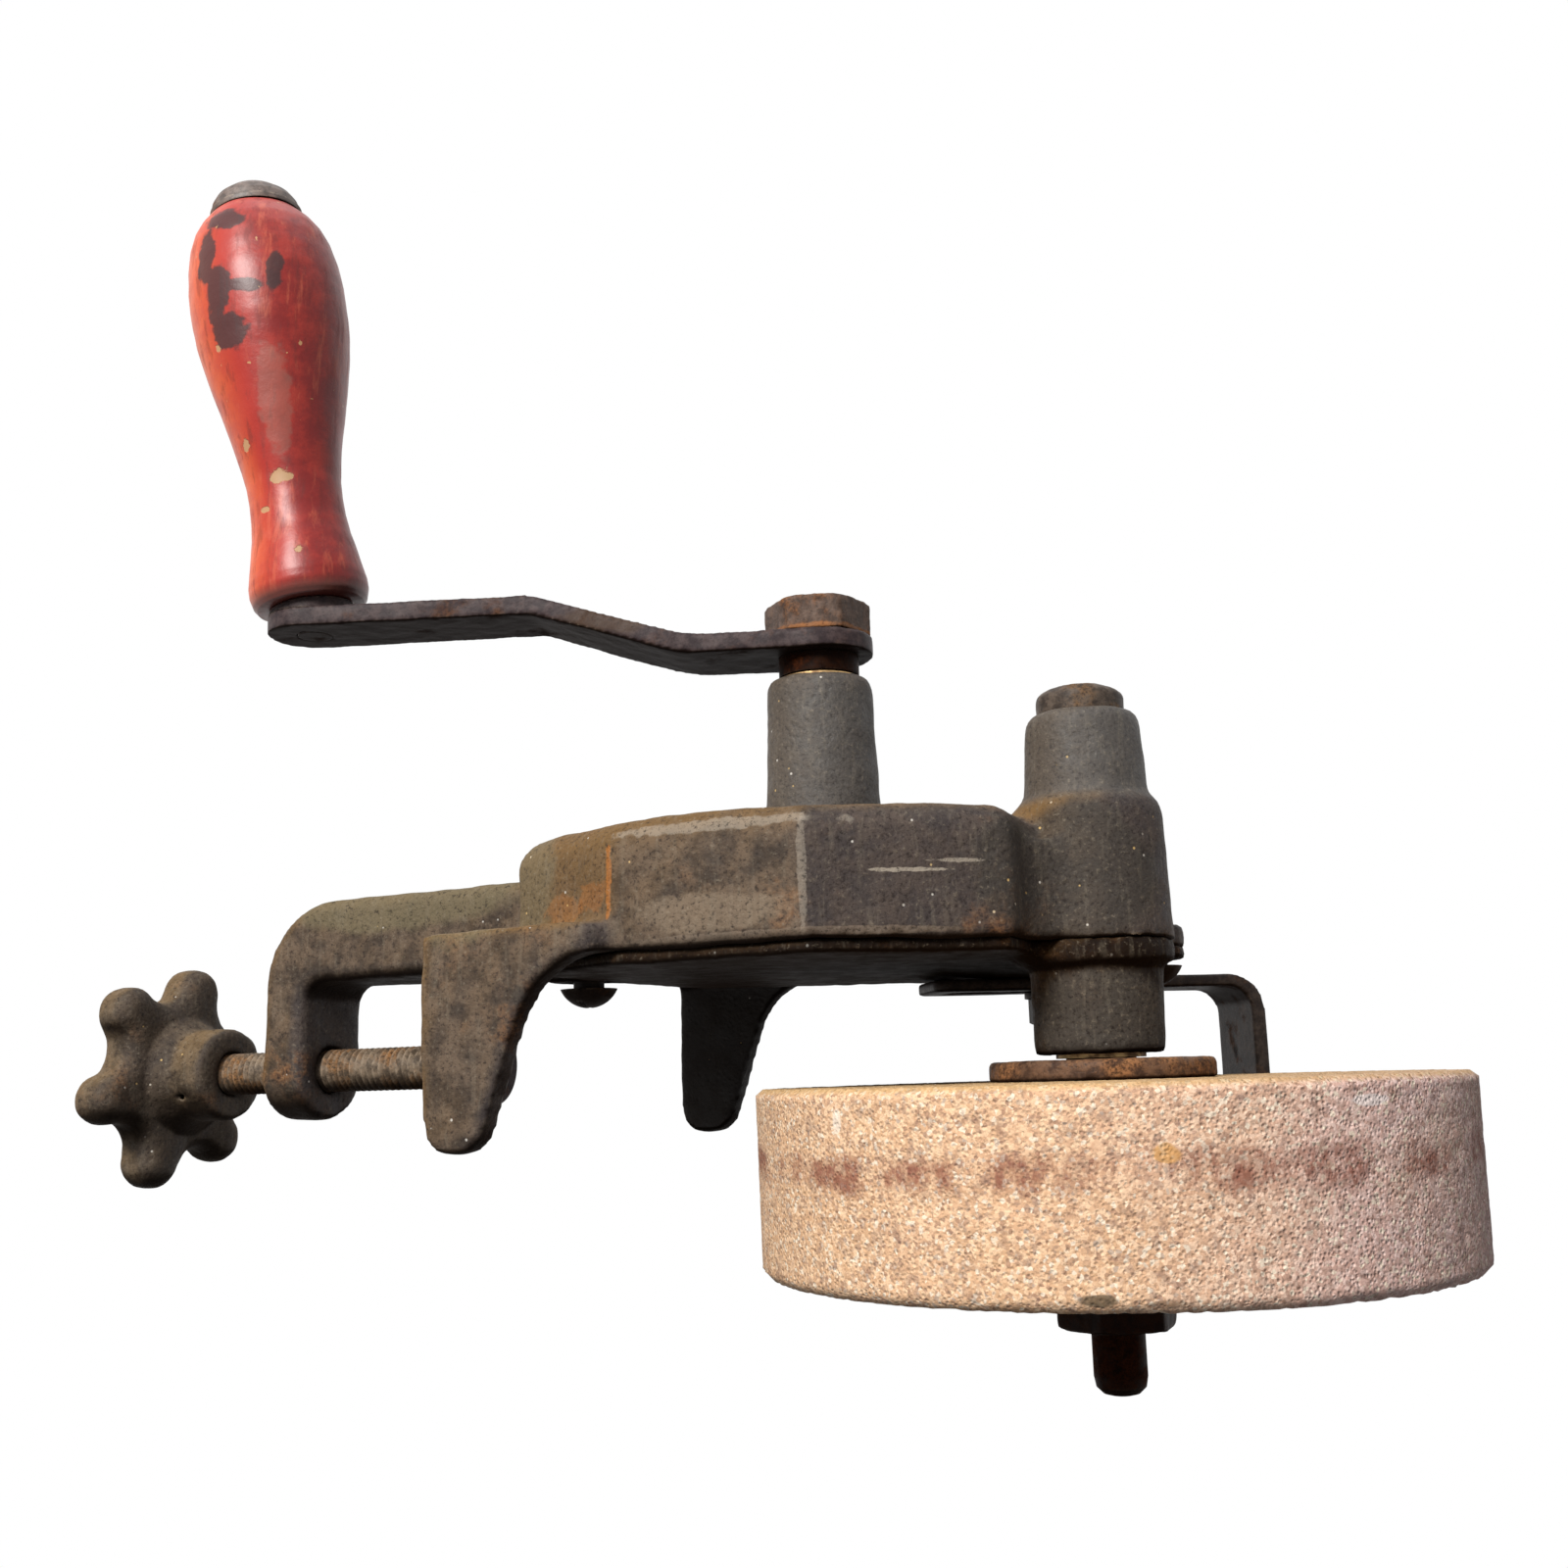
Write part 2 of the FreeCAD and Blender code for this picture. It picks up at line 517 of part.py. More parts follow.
def arbor_bush(y0, y1):
    tube = cyl_y(BUSH_R, y0, y1, 0, ARBOR_Z)
    return tube.cut(cyl_y(ARBOR_R + RUNNING_FIT, y0 - 1, y1 + 1, 0, ARBOR_Z))


def arbor_cap():
    # domed plug that closes the top of the arbor boss
    side_y = ARBOR_BOSS_Y - CAP_SIDE
    plug_y = ARBOR_BOSS_Y + CAP_PLUG_L
    turns = [radians(15 * k) for k in range(7)]
    dome = [(CAP_FLANGE_R * sin(t), side_y - CAP_DOME * cos(t)) for t in turns]
    plug = [(CAP_FLANGE_R, ARBOR_BOSS_Y), (BUSH_R, ARBOR_BOSS_Y), (BUSH_R, plug_y), (0, plug_y)]
    return spun_y(dome + plug, ARBOR_Z)


# Wheel and its fixings
def grinding_wheel():
    r = WHEEL_EDGE_R
    end_r = WHEEL_R - WHEEL_WEAR
    s = r * (1 - cos(pi / 4))
    near_edge = [(WHEEL_R - r, WHEEL_Y), (WHEEL_R - s, WHEEL_Y + s), (WHEEL_R, WHEEL_Y + r)]
    far_edge = [(end_r, WHEEL_END_Y - r), (end_r - s, WHEEL_END_Y - s), (end_r - r, WHEEL_END_Y)]
    bore = [(WHEEL_BORE_R, WHEEL_END_Y), (WHEEL_BORE_R, WHEEL_Y)]
    return spun_y(near_edge + far_edge + bore, ARBOR_Z)


def wheel_bush():
    tube = cyl_y(WHEEL_BORE_R, WHEEL_Y, WHEEL_END_Y, 0, ARBOR_Z)
    return tube.cut(cyl_y(ARBOR_R, WHEEL_Y - 1, WHEEL_END_Y + 1, 0, ARBOR_Z))


def wheel_flange(y_outer, y_wheel, bore_r):
    # pressed disc, relieved in the middle so that only its rim bears on the wheel
    y0 = min(y_outer, y_wheel)
    disc = cyl_y(FLANGE_R, y0, y0 + FLANGE_T, 0, ARBOR_Z)
    disc = disc.makeChamfer(0.6, edges_at_y(disc, y_outer))
    inward = 1 if y_wheel > y_outer else -1
    dish_y = sorted((y_wheel - inward * FLANGE_DISH, y_wheel))
    dish = cyl_y(FLANGE_DISH_R, dish_y[0], dish_y[1], 0, ARBOR_Z)
    return disc.cut([dish, cyl_y(bore_r, y0 - 1, y0 + FLANGE_T + 1, 0, ARBOR_Z)])


def arbor_nut():
    nut = hex_y(NUT_AF, -NUT_Y - ARBOR_NUT_T, -NUT_Y, 0, ARBOR_Z, NUT_CHAMFER).mirror(V(0, 0, 0), AXIS_Y)
    return nut.cut(cyl_y(ARBOR_THREAD_R, NUT_Y - 1, NUT_Y + ARBOR_NUT_T + 1, 0, ARBOR_Z))


# Crank arm, built pointing along -Z and then turned to its resting angle
def at_rest(shape):
    shape.rotate(V(0, 0, CRANK_Z), AXIS_Y, -CRANK_REST_ANGLE)
    return shape


def crank_arm():
    # flat bar with an S-bend, an eye at the shaft and a rounded tip round the pin
    top = ARM_Y - CRANK_ARM_T
    z0 = CRANK_Z + CRANK_EYE_R
    z1 = CRANK_Z - CRANK_BEND_FROM
    z2 = CRANK_Z - CRANK_BEND_TO
    z3 = CRANK_Z - CRANK_THROW - CRANK_TIP_R
    near = [(z0, top), (z1, top), (z2, top - CRANK_OFFSET), (z3, top - CRANK_OFFSET)]
    far = [(z, y + CRANK_ARM_T) for z, y in reversed(near)]
    side = Part.makePolygon([V(-CRANK_EYE_R, y, z) for z, y in near + far + near[:1]])
    slab = Part.Face(side).extrude(V(2 * CRANK_EYE_R, 0, 0))
    # each bend as (z, y, radius): the hollow side first, then the other face of the bar
    bends = [(z1, top, CRANK_LOW_BEND_R), (z1, ARM_Y, CRANK_LOW_BEND_R + CRANK_ARM_T),
             (z2, ARM_Y - CRANK_OFFSET, CRANK_HIGH_BEND_R),
             (z2, top - CRANK_OFFSET, CRANK_HIGH_BEND_R + CRANK_ARM_T)]
    for z, y, r in bends:
        edge = [e for e in slab.Edges if abs(e.CenterOfMass.z - z) < 0.1 and abs(e.CenterOfMass.y - y) < 0.1]
        slab = slab.makeFillet(r, edge)
    y0 = top - CRANK_OFFSET - CRANK_ARM_T
    y1 = ARM_Y + CRANK_ARM_T
    half = CRANK_ARM_W / 2
    tip_z = CRANK_Z - CRANK_THROW
    neck_z = CRANK_Z - CRANK_NECK
    turn = radians(CRANK_EYE_TANGENT)
    eye_x = CRANK_EYE_R * cos(turn)
    eye_z = CRANK_Z - CRANK_EYE_R * sin(turn)
    eye = cyl_y(CRANK_EYE_R, y0, y1, 0, CRANK_Z)
    tip = cyl_y(CRANK_TIP_R, y0, y1, 0, tip_z)
    bar = prism_y([(-half, neck_z), (half, neck_z), (CRANK_TIP_R, tip_z), (-CRANK_TIP_R, tip_z)], y0, y1)
    web = prism_y([(-eye_x, eye_z), (eye_x, eye_z), (half, neck_z), (-half, neck_z)], y0, y1)
    plan = eye.fuse([tip, bar, web])
    hole = cyl_y(CRANK_THREAD_R, y0, y1, 0, CRANK_Z)
    pin_hole = leaning(cyl_y(PIN_R, -CRANK_THROW, CRANK_THROW))
    return at_rest(slab.common(plan).cut([hole, pin_hole]))


def crank_nut():
    y1 = ARM_Y - CRANK_ARM_T
    nut = hex_y(NUT_AF, y1 - CRANK_NUT_T, y1, 0, CRANK_Z, NUT_CHAMFER)
    nut.rotate(V(0, 0, CRANK_Z), AXIS_Y, CRANK_NUT_TURN)
    return nut.cut(cyl_y(CRANK_THREAD_R, y1 - CRANK_NUT_T - 1, y1 + 1, 0, CRANK_Z))


# Handle parts are turned about their own axis (+Y is toward the arm, y = 0 is the arm's face)
def leaning(shape):
    # lean outward along the arm and stand on the arm's outer flat at the crank's throw
    shape = shape.copy()
    shape.rotate(V(0, 0, 0), V(1, 0, 0), PIN_LEAN)
    shape.translate(V(0, ARM_Y - CRANK_ARM_T - CRANK_OFFSET, CRANK_Z - CRANK_THROW))
    return shape


def handle_pin():
    # the stem leans through the arm; its riveted head sits square on the arm's back
    lean = radians(PIN_LEAN)
    top = -HANDLE_WASHER_T - GRIP_L - 2 * END_PLAY
    back_y = ARM_Y - CRANK_OFFSET
    head_z = CRANK_Z - CRANK_THROW + CRANK_ARM_T * tan(lean)
    stem = leaning(cyl_y(PIN_R, top, (CRANK_ARM_T + RIVET_H) / cos(lean)))
    ball_r = (RIVET_R ** 2 + RIVET_H ** 2) / (2 * RIVET_H)
    head = Part.makeSphere(ball_r, V(0, back_y + RIVET_H - ball_r, head_z))
    head = head.common(cyl_y(RIVET_R, back_y, back_y + RIVET_H, 0, head_z))
    beyond = cyl_y(RIVET_R, back_y, back_y + 3 * RIVET_H, 0, head_z).cut(head)
    return at_rest(stem.cut(beyond).fuse(head))


def handle_washer():
    # tapered washer: flat on the arm, its other face square to the leaning pin
    deep = 2 * HANDLE_WASHER_T
    ring = leaning(cyl_y(HANDLE_WASHER_R, -HANDLE_WASHER_T, deep).cut(cyl_y(PIN_R, -deep, 2 * deep)))
    size = 4 * HANDLE_WASHER_R
    corner = V(-size / 2, ARM_Y - CRANK_ARM_T - CRANK_OFFSET, CRANK_Z - CRANK_THROW - size / 2)
    return at_rest(ring.cut(Part.makeBox(size, size, size, corner)))


def handle_grip():
    base = -HANDLE_WASHER_T - END_PLAY
    points = [V(r, base - h, 0) for r, h in GRIP_PROFILE] + [V(GRIP_TOP_R, base - GRIP_L + 0.8, 0)]
    curve = Part.BSplineCurve()
    curve.interpolate(points)
    top = V(GRIP_TOP_R - 0.8, base - GRIP_L, 0)
    centre_top = V(0, base - GRIP_L, 0)
    centre_base = V(0, base, 0)
    corners = [points[-1], top, centre_top, centre_base, points[0]]
    sides = [Part.makeLine(start, end) for start, end in zip(corners, corners[1:])]
    ring = Part.Wire([curve.toShape()] + sides)
    grip = Part.Face(ring).revolve(V(0, 0, 0), AXIS_Y, 360)
    return at_rest(leaning(grip.cut(cyl_y(GRIP_BORE_R, -GRIP_L - 5, 5))))


def handle_cap():
    y0 = -HANDLE_WASHER_T - 2 * END_PLAY - GRIP_L
    outline = [(0, y0 - CAP_H)]
    for a in (20, 40, 60, 75, 90):
        outline.append(((CAP_R - 0.3) * sin(radians(a)), y0 - CAP_RIM - (CAP_H - CAP_RIM) * cos(radians(a))))
    outline += [(CAP_R, y0 - CAP_RIM), (CAP_R, y0), (0, y0)]
    ring = Part.makePolygon([V(r, y, 0) for r, y in outline + outline[:1]])
    cap = Part.Face(ring).revolve(V(0, 0, 0), AXIS_Y, 360)
    return at_rest(leaning(cap.cut(cyl_y(PIN_R, -HANDLE_WASHER_T - GRIP_L - 2 * END_PLAY, 0))))


# Tool rest, built along +Z with its bolt at the origin and then turned under the cover
def placed_rest(shape):
    shape.rotate(V(0, 0, 0), AXIS_Y, -REST_TURN)
    shape.translate(V(REST_BOLT_X, 0, REST_BOLT_Z))
    return shape


def tool_rest():
    x = -REST_W / 2
    ro = REST_BEND_R
    ri = REST_BEND_R - REST_T
    c45 = cos(pi / 4)
    z_in = REST_REACH - ro
    y_c = REST_Y + ro
    tip_y = REST_Y + REST_DROP
    inner_y = REST_Y + REST_T
    under = REST_REACH - REST_T
    corners = [(REST_Y, -REST_TAIL), (REST_Y, z_in), (y_c, REST_REACH), (tip_y, REST_REACH),
               (tip_y, under), (y_c, under), (inner_y, z_in), (inner_y, -REST_TAIL)]
    pts = [V(x, y, z) for y, z in corners]
    outer = Part.Arc(pts[1], V(x, y_c - ro * c45, z_in + ro * c45), pts[2]).toShape()
    inner = Part.Arc(pts[5], V(x, y_c - ri * c45, z_in + ri * c45), pts[6]).toShape()
    straight = [Part.makeLine(pts[k], pts[(k + 1) % 8]) for k in (0, 2, 3, 4, 6, 7)]
    ring = Part.Wire(straight[:1] + [outer] + straight[1:4] + [inner] + straight[4:])
    bar = Part.Face(ring).extrude(V(REST_W, 0, 0))
    bar = bar.makeFillet(REST_CORNER_R, [e for e in bar.Edges if abs(e.Length - REST_T) < 1e-6])
    half = REST_SLOT_W / 2
    deep = REST_Y + 2 * REST_T
    slot = cyl_y(half, 0, deep, 0, -REST_SLOT_BACK).fuse(cyl_y(half, 0, deep, 0, REST_SLOT_FRONT))
    slot_l = REST_SLOT_BACK + REST_SLOT_FRONT
    slot = slot.fuse(Part.makeBox(REST_SLOT_W, deep, slot_l, V(-half, 0, -REST_SLOT_BACK)))
    return placed_rest(bar.cut(slot))


def rest_bolt():
    end_y = REST_Y + REST_T + WASHER_T + SMALL_NUT_T + BOLT_END
    head = hex_y(SMALL_NUT_AF, -BOLT_HEAD_T, 0, 0, 0)
    return placed_rest(head.fuse(cyl_y(BOLT_R, 0, end_y)))


def rest_washer():
    y0 = REST_Y + REST_T
    return placed_rest(cyl_y(WASHER_R, y0, y0 + WASHER_T).cut(cyl_y(BOLT_R, 0, y0 + WASHER_T + 1)))


def rest_nut():
    y0 = REST_Y + REST_T + WASHER_T
    nut = hex_y(SMALL_NUT_AF, -y0 - SMALL_NUT_T, -y0, 0, 0).mirror(V(0, 0, 0), AXIS_Y)
    return placed_rest(nut.cut(cyl_y(BOLT_R, 0, y0 + SMALL_NUT_T + 1)))


# Clamp screw, knob and pad
def clamp_screw():
    # plain rod at thread size with a turned neck and a ball held in the pad
    bottom = KNOB_HUB_TOP_Z - KNOB_HUB_L
    neck_z = PAD_FACE_Z - PAD_T - SCREW_NECK_L
    shank = cyl_z(SCREW_R, bottom, neck_z, 0, SCREW_Y)
    neck = cyl_z(SCREW_NECK_R, neck_z, PAD_FACE_Z - PAD_T / 2, 0, SCREW_Y)
    ball = Part.makeSphere(SCREW_BALL_R, V(0, SCREW_Y, PAD_FACE_Z - PAD_T / 2))
    return shank.fuse([neck, ball]).cut(knob_pin())


def swivel_pad():
    # round pad crimped over the ball of the screw
    z0 = PAD_FACE_Z - PAD_T
    rim_z = PAD_FACE_Z - PAD_RIM_T
    disc = Part.makeCone(PAD_BACK_R, PAD_R, PAD_T - PAD_RIM_T, V(0, SCREW_Y, z0), AXIS_Z)
    disc = disc.fuse(cyl_z(PAD_R, rim_z, PAD_FACE_Z, 0, SCREW_Y))
    socket = Part.makeSphere(SCREW_BALL_R + RUNNING_FIT, V(0, SCREW_Y, PAD_FACE_Z - PAD_T / 2))
    mouth = cyl_z(SCREW_NECK_R + RUNNING_FIT, z0 - 1, PAD_FACE_Z - PAD_T / 2, 0, SCREW_Y)
    return disc.cut([socket, mouth])


def knob_pin():
    z = KNOB_HUB_TOP_Z - KNOB_HUB_L * 0.45
    return Part.makeCylinder(KNOB_PIN_R, 2 * KNOB_HUB_R - 0.6, V(-KNOB_HUB_R + 0.3, SCREW_Y, z), V(1, 0, 0))


def star_outline(z):
    # lobes and the hollows between them as tangent arcs
    n = KNOB_LOBES
    c = cos(pi / n)
    rl, rv, dl = KNOB_LOBE_R, KNOB_VALLEY_R, KNOB_LOBE_CENTRE
    rc = (dl * dl + rv * rv - 2 * dl * rv * c - rl * rl) / (2 * (rl - rv + dl * c))
    dc = rv + rc

    def at(radius, turn):
        return V(radius * sin(turn), SCREW_Y - radius * cos(turn), z)

    edges = []
    for k in range(n):
        lobe_turn = radians(KNOB_TURN) + 2 * pi * k / n
        lobe = at(dl, lobe_turn)
        before = at(dc, lobe_turn - pi / n)
        after = at(dc, lobe_turn + pi / n)
        nxt = at(dl, lobe_turn + 2 * pi / n)
        share = rl / (rl + rc)
        p0 = lobe + (before - lobe) * share
        p1 = lobe + (after - lobe) * share
        p2 = nxt + (after - nxt) * share
        edges.append(Part.Arc(p0, at(dl + rl, lobe_turn), p1).toShape())
        edges.append(Part.Arc(p1, at(rv, lobe_turn + pi / n), p2).toShape())
    return Part.Wire(edges)


def star_knob():
    z1 = KNOB_HUB_TOP_Z - KNOB_HUB_L + KNOB_SCREW_RECESS
    z0 = z1 - KNOB_STAR_T
    star = Part.Face(star_outline(z0)).extrude(V(0, 0, KNOB_STAR_T))
    rims = [e for e in star.Edges if min(abs(e.CenterOfMass.z - z) for z in (z0, z1)) < 1e-6]
    star = star.makeFillet(KNOB_ROUND, rims)
    hub = cyl_z(KNOB_HUB_R, z1 - KNOB_ROUND, KNOB_HUB_TOP_Z, 0, SCREW_Y)
    top_rim = [e for e in hub.Edges if abs(e.CenterOfMass.z - KNOB_HUB_TOP_Z) < 1e-6]
    hub = hub.makeChamfer(KNOB_HUB_CHAMFER, top_rim)
    skirt = Part.makeCone(KNOB_SKIRT_R, KNOB_HUB_R, KNOB_SKIRT_H, V(0, SCREW_Y, z1 - KNOB_ROUND / 2), AXIS_Z)
    body = star.fuse([hub, skirt])
    bore = cyl_z(SCREW_R, KNOB_HUB_TOP_Z - KNOB_HUB_L, KNOB_HUB_TOP_Z + 1, 0, SCREW_Y)
    return body.cut([bore, knob_pin()])


PIECES = {
    "frame_casting": frame_casting(),
    "case_cover": case_cover(),
    "toe_screw": cover_screw(TOE_SCREW_X, TOE_SCREW_Z, TOE_SCREW_L),
    "corner_screw": cover_screw(CORNER_SCREW_X, CORNER_SCREW_Z, CORNER_SCREW_L),
    "crank_bush": crank_bush(),
    "crank_shaft": crank_shaft(),
    "crank_gear": crank_gear(),
    "gear_pin": gear_pin(),
    "arbor_upper_bush": arbor_bush(ARBOR_BOSS_Y + CAP_PLUG_L + END_PLAY, POCKET_Y),
    "arbor_lower_bush": arbor_bush(0, TUBE_END_Y),
    "arbor_shaft": arbor_shaft(),
    "arbor_pinion": arbor_pinion(),
    "arbor_cap": arbor_cap(),
    "inner_flange": wheel_flange(WHEEL_Y - FLANGE_T, WHEEL_Y, ARBOR_R),
    "grinding_wheel": grinding_wheel(),
    "wheel_bush": wheel_bush(),
    "outer_flange": wheel_flange(WHEEL_END_Y + FLANGE_T, WHEEL_END_Y, ARBOR_THREAD_R),
    "arbor_nut": arbor_nut(),
    "crank_arm": crank_arm(),
    "crank_nut": crank_nut(),
    "handle_pin": handle_pin(),
    "handle_washer": handle_washer(),
    "handle_grip": handle_grip(),
    "handle_cap": handle_cap(),
    "tool_rest": tool_rest(),
    "rest_bolt": rest_bolt(),
    "rest_washer": rest_washer(),
    "rest_nut": rest_nut(),
    "clamp_screw": clamp_screw(),
    "swivel_pad": swivel_pad(),
    "star_knob": star_knob(),
    "knob_pin": knob_pin(),
}

os.makedirs("parts", exist_ok=True)
for name, shape in PIECES.items():
    shape.exportStep("parts/" + name + ".step")
    box = shape.BoundBox
    span = [round(v, 1) for v in (box.XMin, box.XMax, box.YMin, box.YMax, box.ZMin, box.ZMax)]
    print(name, "solids", len(shape.Solids), "valid", shape.isValid(), round(shape.Volume), "mm3 box", span)
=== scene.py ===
# %% [markdown]
# # A hand crank bench grinder
# The grinder clamps to the edge of a bench. A long crank turns a big gear inside the octagonal
# iron case, the gear drives a small pinion, and the pinion's shaft carries the abrasive wheel.
# The solid pieces come ready made from the frame. This script gives them their finishes, makes
# the pieces whose looks need finer shape than the solids have, and sets light and camera.

# %% Load the frame
import math
import bmesh
import bpy
from mathutils import Matrix, Vector, noise


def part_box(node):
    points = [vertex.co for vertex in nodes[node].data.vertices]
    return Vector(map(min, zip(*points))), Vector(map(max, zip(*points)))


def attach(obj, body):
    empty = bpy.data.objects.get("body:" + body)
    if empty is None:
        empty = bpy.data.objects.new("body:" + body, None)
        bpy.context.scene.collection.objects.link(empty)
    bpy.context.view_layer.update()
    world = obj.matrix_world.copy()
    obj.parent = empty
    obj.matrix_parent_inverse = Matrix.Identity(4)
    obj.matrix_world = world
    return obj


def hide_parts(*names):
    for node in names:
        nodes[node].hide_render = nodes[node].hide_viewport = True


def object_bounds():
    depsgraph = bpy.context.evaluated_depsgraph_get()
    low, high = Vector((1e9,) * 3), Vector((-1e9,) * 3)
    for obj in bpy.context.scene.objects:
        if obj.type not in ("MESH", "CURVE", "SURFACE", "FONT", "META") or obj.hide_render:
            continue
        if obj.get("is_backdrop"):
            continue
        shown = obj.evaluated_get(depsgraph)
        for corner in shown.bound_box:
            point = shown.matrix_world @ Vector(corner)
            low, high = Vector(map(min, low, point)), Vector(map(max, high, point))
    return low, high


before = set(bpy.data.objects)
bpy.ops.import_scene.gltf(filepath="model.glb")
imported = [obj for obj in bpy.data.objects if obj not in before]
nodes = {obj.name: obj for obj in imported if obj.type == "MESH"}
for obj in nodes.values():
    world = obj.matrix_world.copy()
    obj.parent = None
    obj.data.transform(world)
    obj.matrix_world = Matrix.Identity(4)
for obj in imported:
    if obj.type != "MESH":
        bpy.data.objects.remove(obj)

MM_PER_M = 1000.0
box_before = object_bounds()
print("pieces in the frame:", len(nodes))

# %% [markdown]
# ## Short calls for shader nodes
# A finish is a tree of nodes. Each helper adds one kind of node and returns the socket that the
# next node reads, so a finish can be read from top to bottom like a recipe. All patterns read
# Object coordinates, which are metres here: a noise scale of 1000 has features of about 1 mm.

# %% Node helpers
def put(tree, kind, inputs=None, **settings):
    made = tree.nodes.new(kind)
    for key, value in settings.items():
        setattr(made, key, value)
    for key, value in (inputs or {}).items():
        if isinstance(value, bpy.types.NodeSocket):
            tree.links.new(value, made.inputs[key])
        else:
            made.inputs[key].default_value = value
    return made


def place(tree, stretch=(1, 1, 1), shift=(0, 0, 0)):
    coords = put(tree, "ShaderNodeTexCoord").outputs["Object"]
    return put(tree, "ShaderNodeMapping", {"Vector": coords, "Location": shift, "Scale": stretch}).outputs[0]


def cloud(tree, at, scale, detail=5.0, rough=0.6):
    settings = {"Vector": at, "Scale": scale, "Detail": detail, "Roughness": rough}
    return put(tree, "ShaderNodeTexNoise", settings).outputs[0]


def cells(tree, at, scale, out="Distance"):
    return put(tree, "ShaderNodeTexVoronoi", {"Vector": at, "Scale": scale}).outputs[out]


def ease(tree, value, low, high, to_low=0.0, to_high=1.0):
    limits = {"Value": value, "From Min": low, "From Max": high, "To Min": to_low, "To Max": to_high}
    return put(tree, "ShaderNodeMapRange", limits, interpolation_type="SMOOTHSTEP").outputs[0]


def times(tree, a, b, operation="MULTIPLY"):
    made = put(tree, "ShaderNodeMath", {0: a, 1: b}, operation=operation, use_clamp=True)
    return made.outputs[0]


def over(tree, mask, under, top):
    made = put(tree, "ShaderNodeMix", {0: mask, 6: under, 7: top}, data_type="RGBA")
    return made.outputs[2]


def rgb(r, g, b):
    return (r, g, b, 1.0)


print("node helpers ready")

# %% [markdown]
# ## Facing, edges and hollows
# Old iron is not one colour: a dust and gold-brown film colour is painted on the faces that look
# up and toward the window, partly as painted light, handling polishes the edges, and the hollows
# are darkened. The first mask compares the surface's own normal with a direction, the second
# compares it with a normal rounded over the nearest edges, and the third looks for nearby surfaces.

# %% Surface masks
def facing(tree, direction, low, high):
    normal = put(tree, "ShaderNodeTexCoord").outputs["Normal"]
    dot = put(tree, "ShaderNodeVectorMath", {0: normal, 1: direction}, operation="DOT_PRODUCT")
    return ease(tree, dot.outputs["Value"], low, high)


def rounded(tree, radius):
    return put(tree, "ShaderNodeBevel", {"Radius": radius}, samples=4).outputs[0]


def edges(tree, soft, low, high):
    normal = put(tree, "ShaderNodeNewGeometry").outputs["Normal"]
    dot = put(tree, "ShaderNodeVectorMath", {0: normal, 1: soft}, operation="DOT_PRODUCT")
    return ease(tree, dot.outputs["Value"], low, high, 1.0, 0.0)


def hollows(tree, reach):
    shade = put(tree, "ShaderNodeAmbientOcclusion", {"Distance": reach}, samples=8).outputs["AO"]
    return ease(tree, shade, 0.25, 0.85, 1.0, 0.0)


def start(name):
    material = bpy.data.materials.new(name)
    material.use_nodes = True
    material.node_tree.nodes.clear()
    return material, material.node_tree


def close(tree, colour, rough, metal, height, depth, soft=None, extra=None):
    bump_in = {"Height": height, "Strength": 1.0, "Distance": depth}
    if soft is not None:
        bump_in["Normal"] = soft
    bump = put(tree, "ShaderNodeBump", bump_in).outputs[0]
    sockets = {"Base Color": colour, "Roughness": rough, "Metallic": metal, "Normal": bump}
    sockets.update(extra or {})
    skin = put(tree, "ShaderNodeBsdfPrincipled", sockets).outputs[0]
    put(tree, "ShaderNodeOutputMaterial", {"Surface": skin})


def spot(tree, centre, reach, ragged=0.5, grain=400.0):
    """A mark round a point of the object: centre and reach in millimetres, ragged edge from noise."""
    stretch = tuple(MM_PER_M / r for r in reach)
    shift = tuple(-c / r for c, r in zip(centre, reach))
    scaled = place(tree, stretch, shift)
    near = put(tree, "ShaderNodeVectorMath", {0: scaled}, operation="LENGTH").outputs["Value"]
    edge = times(tree, cloud(tree, place(tree), grain, 4.0, 0.6), ragged)
    near = put(tree, "ShaderNodeMath", {0: near, 1: edge}, operation="ADD").outputs[0]
    return ease(tree, near, 1.0 + 0.5 * ragged, 0.75 + 0.5 * ragged)


print("surface masks ready")

# %% [markdown]
# ## Making a solid look handled
# A CAD solid has perfect planes and one radius on each edge. A sand casting or a bar bent at a
# forge has neither. Each such piece is copied, remeshed into even small squares, smoothed a
# little so that the edges round over, and pushed in and out along its normals by noise.

# %% Softened copies of the solids
def copied(name):
    shape = bmesh.new()
    shape.from_mesh(nodes[name].data)
    bmesh.ops.remove_doubles(shape, verts=shape.verts, dist=1e-6)
    return shape


def to_object(shape, name):
    bmesh.ops.recalc_face_normals(shape, faces=shape.faces)
    mesh = bpy.data.meshes.new(name)
    shape.to_mesh(mesh)
    shape.free()
    made = bpy.data.objects.new(name, mesh)
    bpy.context.scene.collection.objects.link(made)
    return made


def uneven(shape, lumps, seed, inward=False):
    shape.normal_update()
    pushes = []
    elsewhere = Vector((seed, 0, 0))
    for vertex in shape.verts:
        at = vertex.co * MM_PER_M
        push = sum(height * noise.noise(at / size + elsewhere) for size, height in lumps)
        pushes.append(-abs(push) if inward else push)
    for vertex, push in zip(shape.verts, pushes):
        vertex.co += vertex.normal * push / MM_PER_M


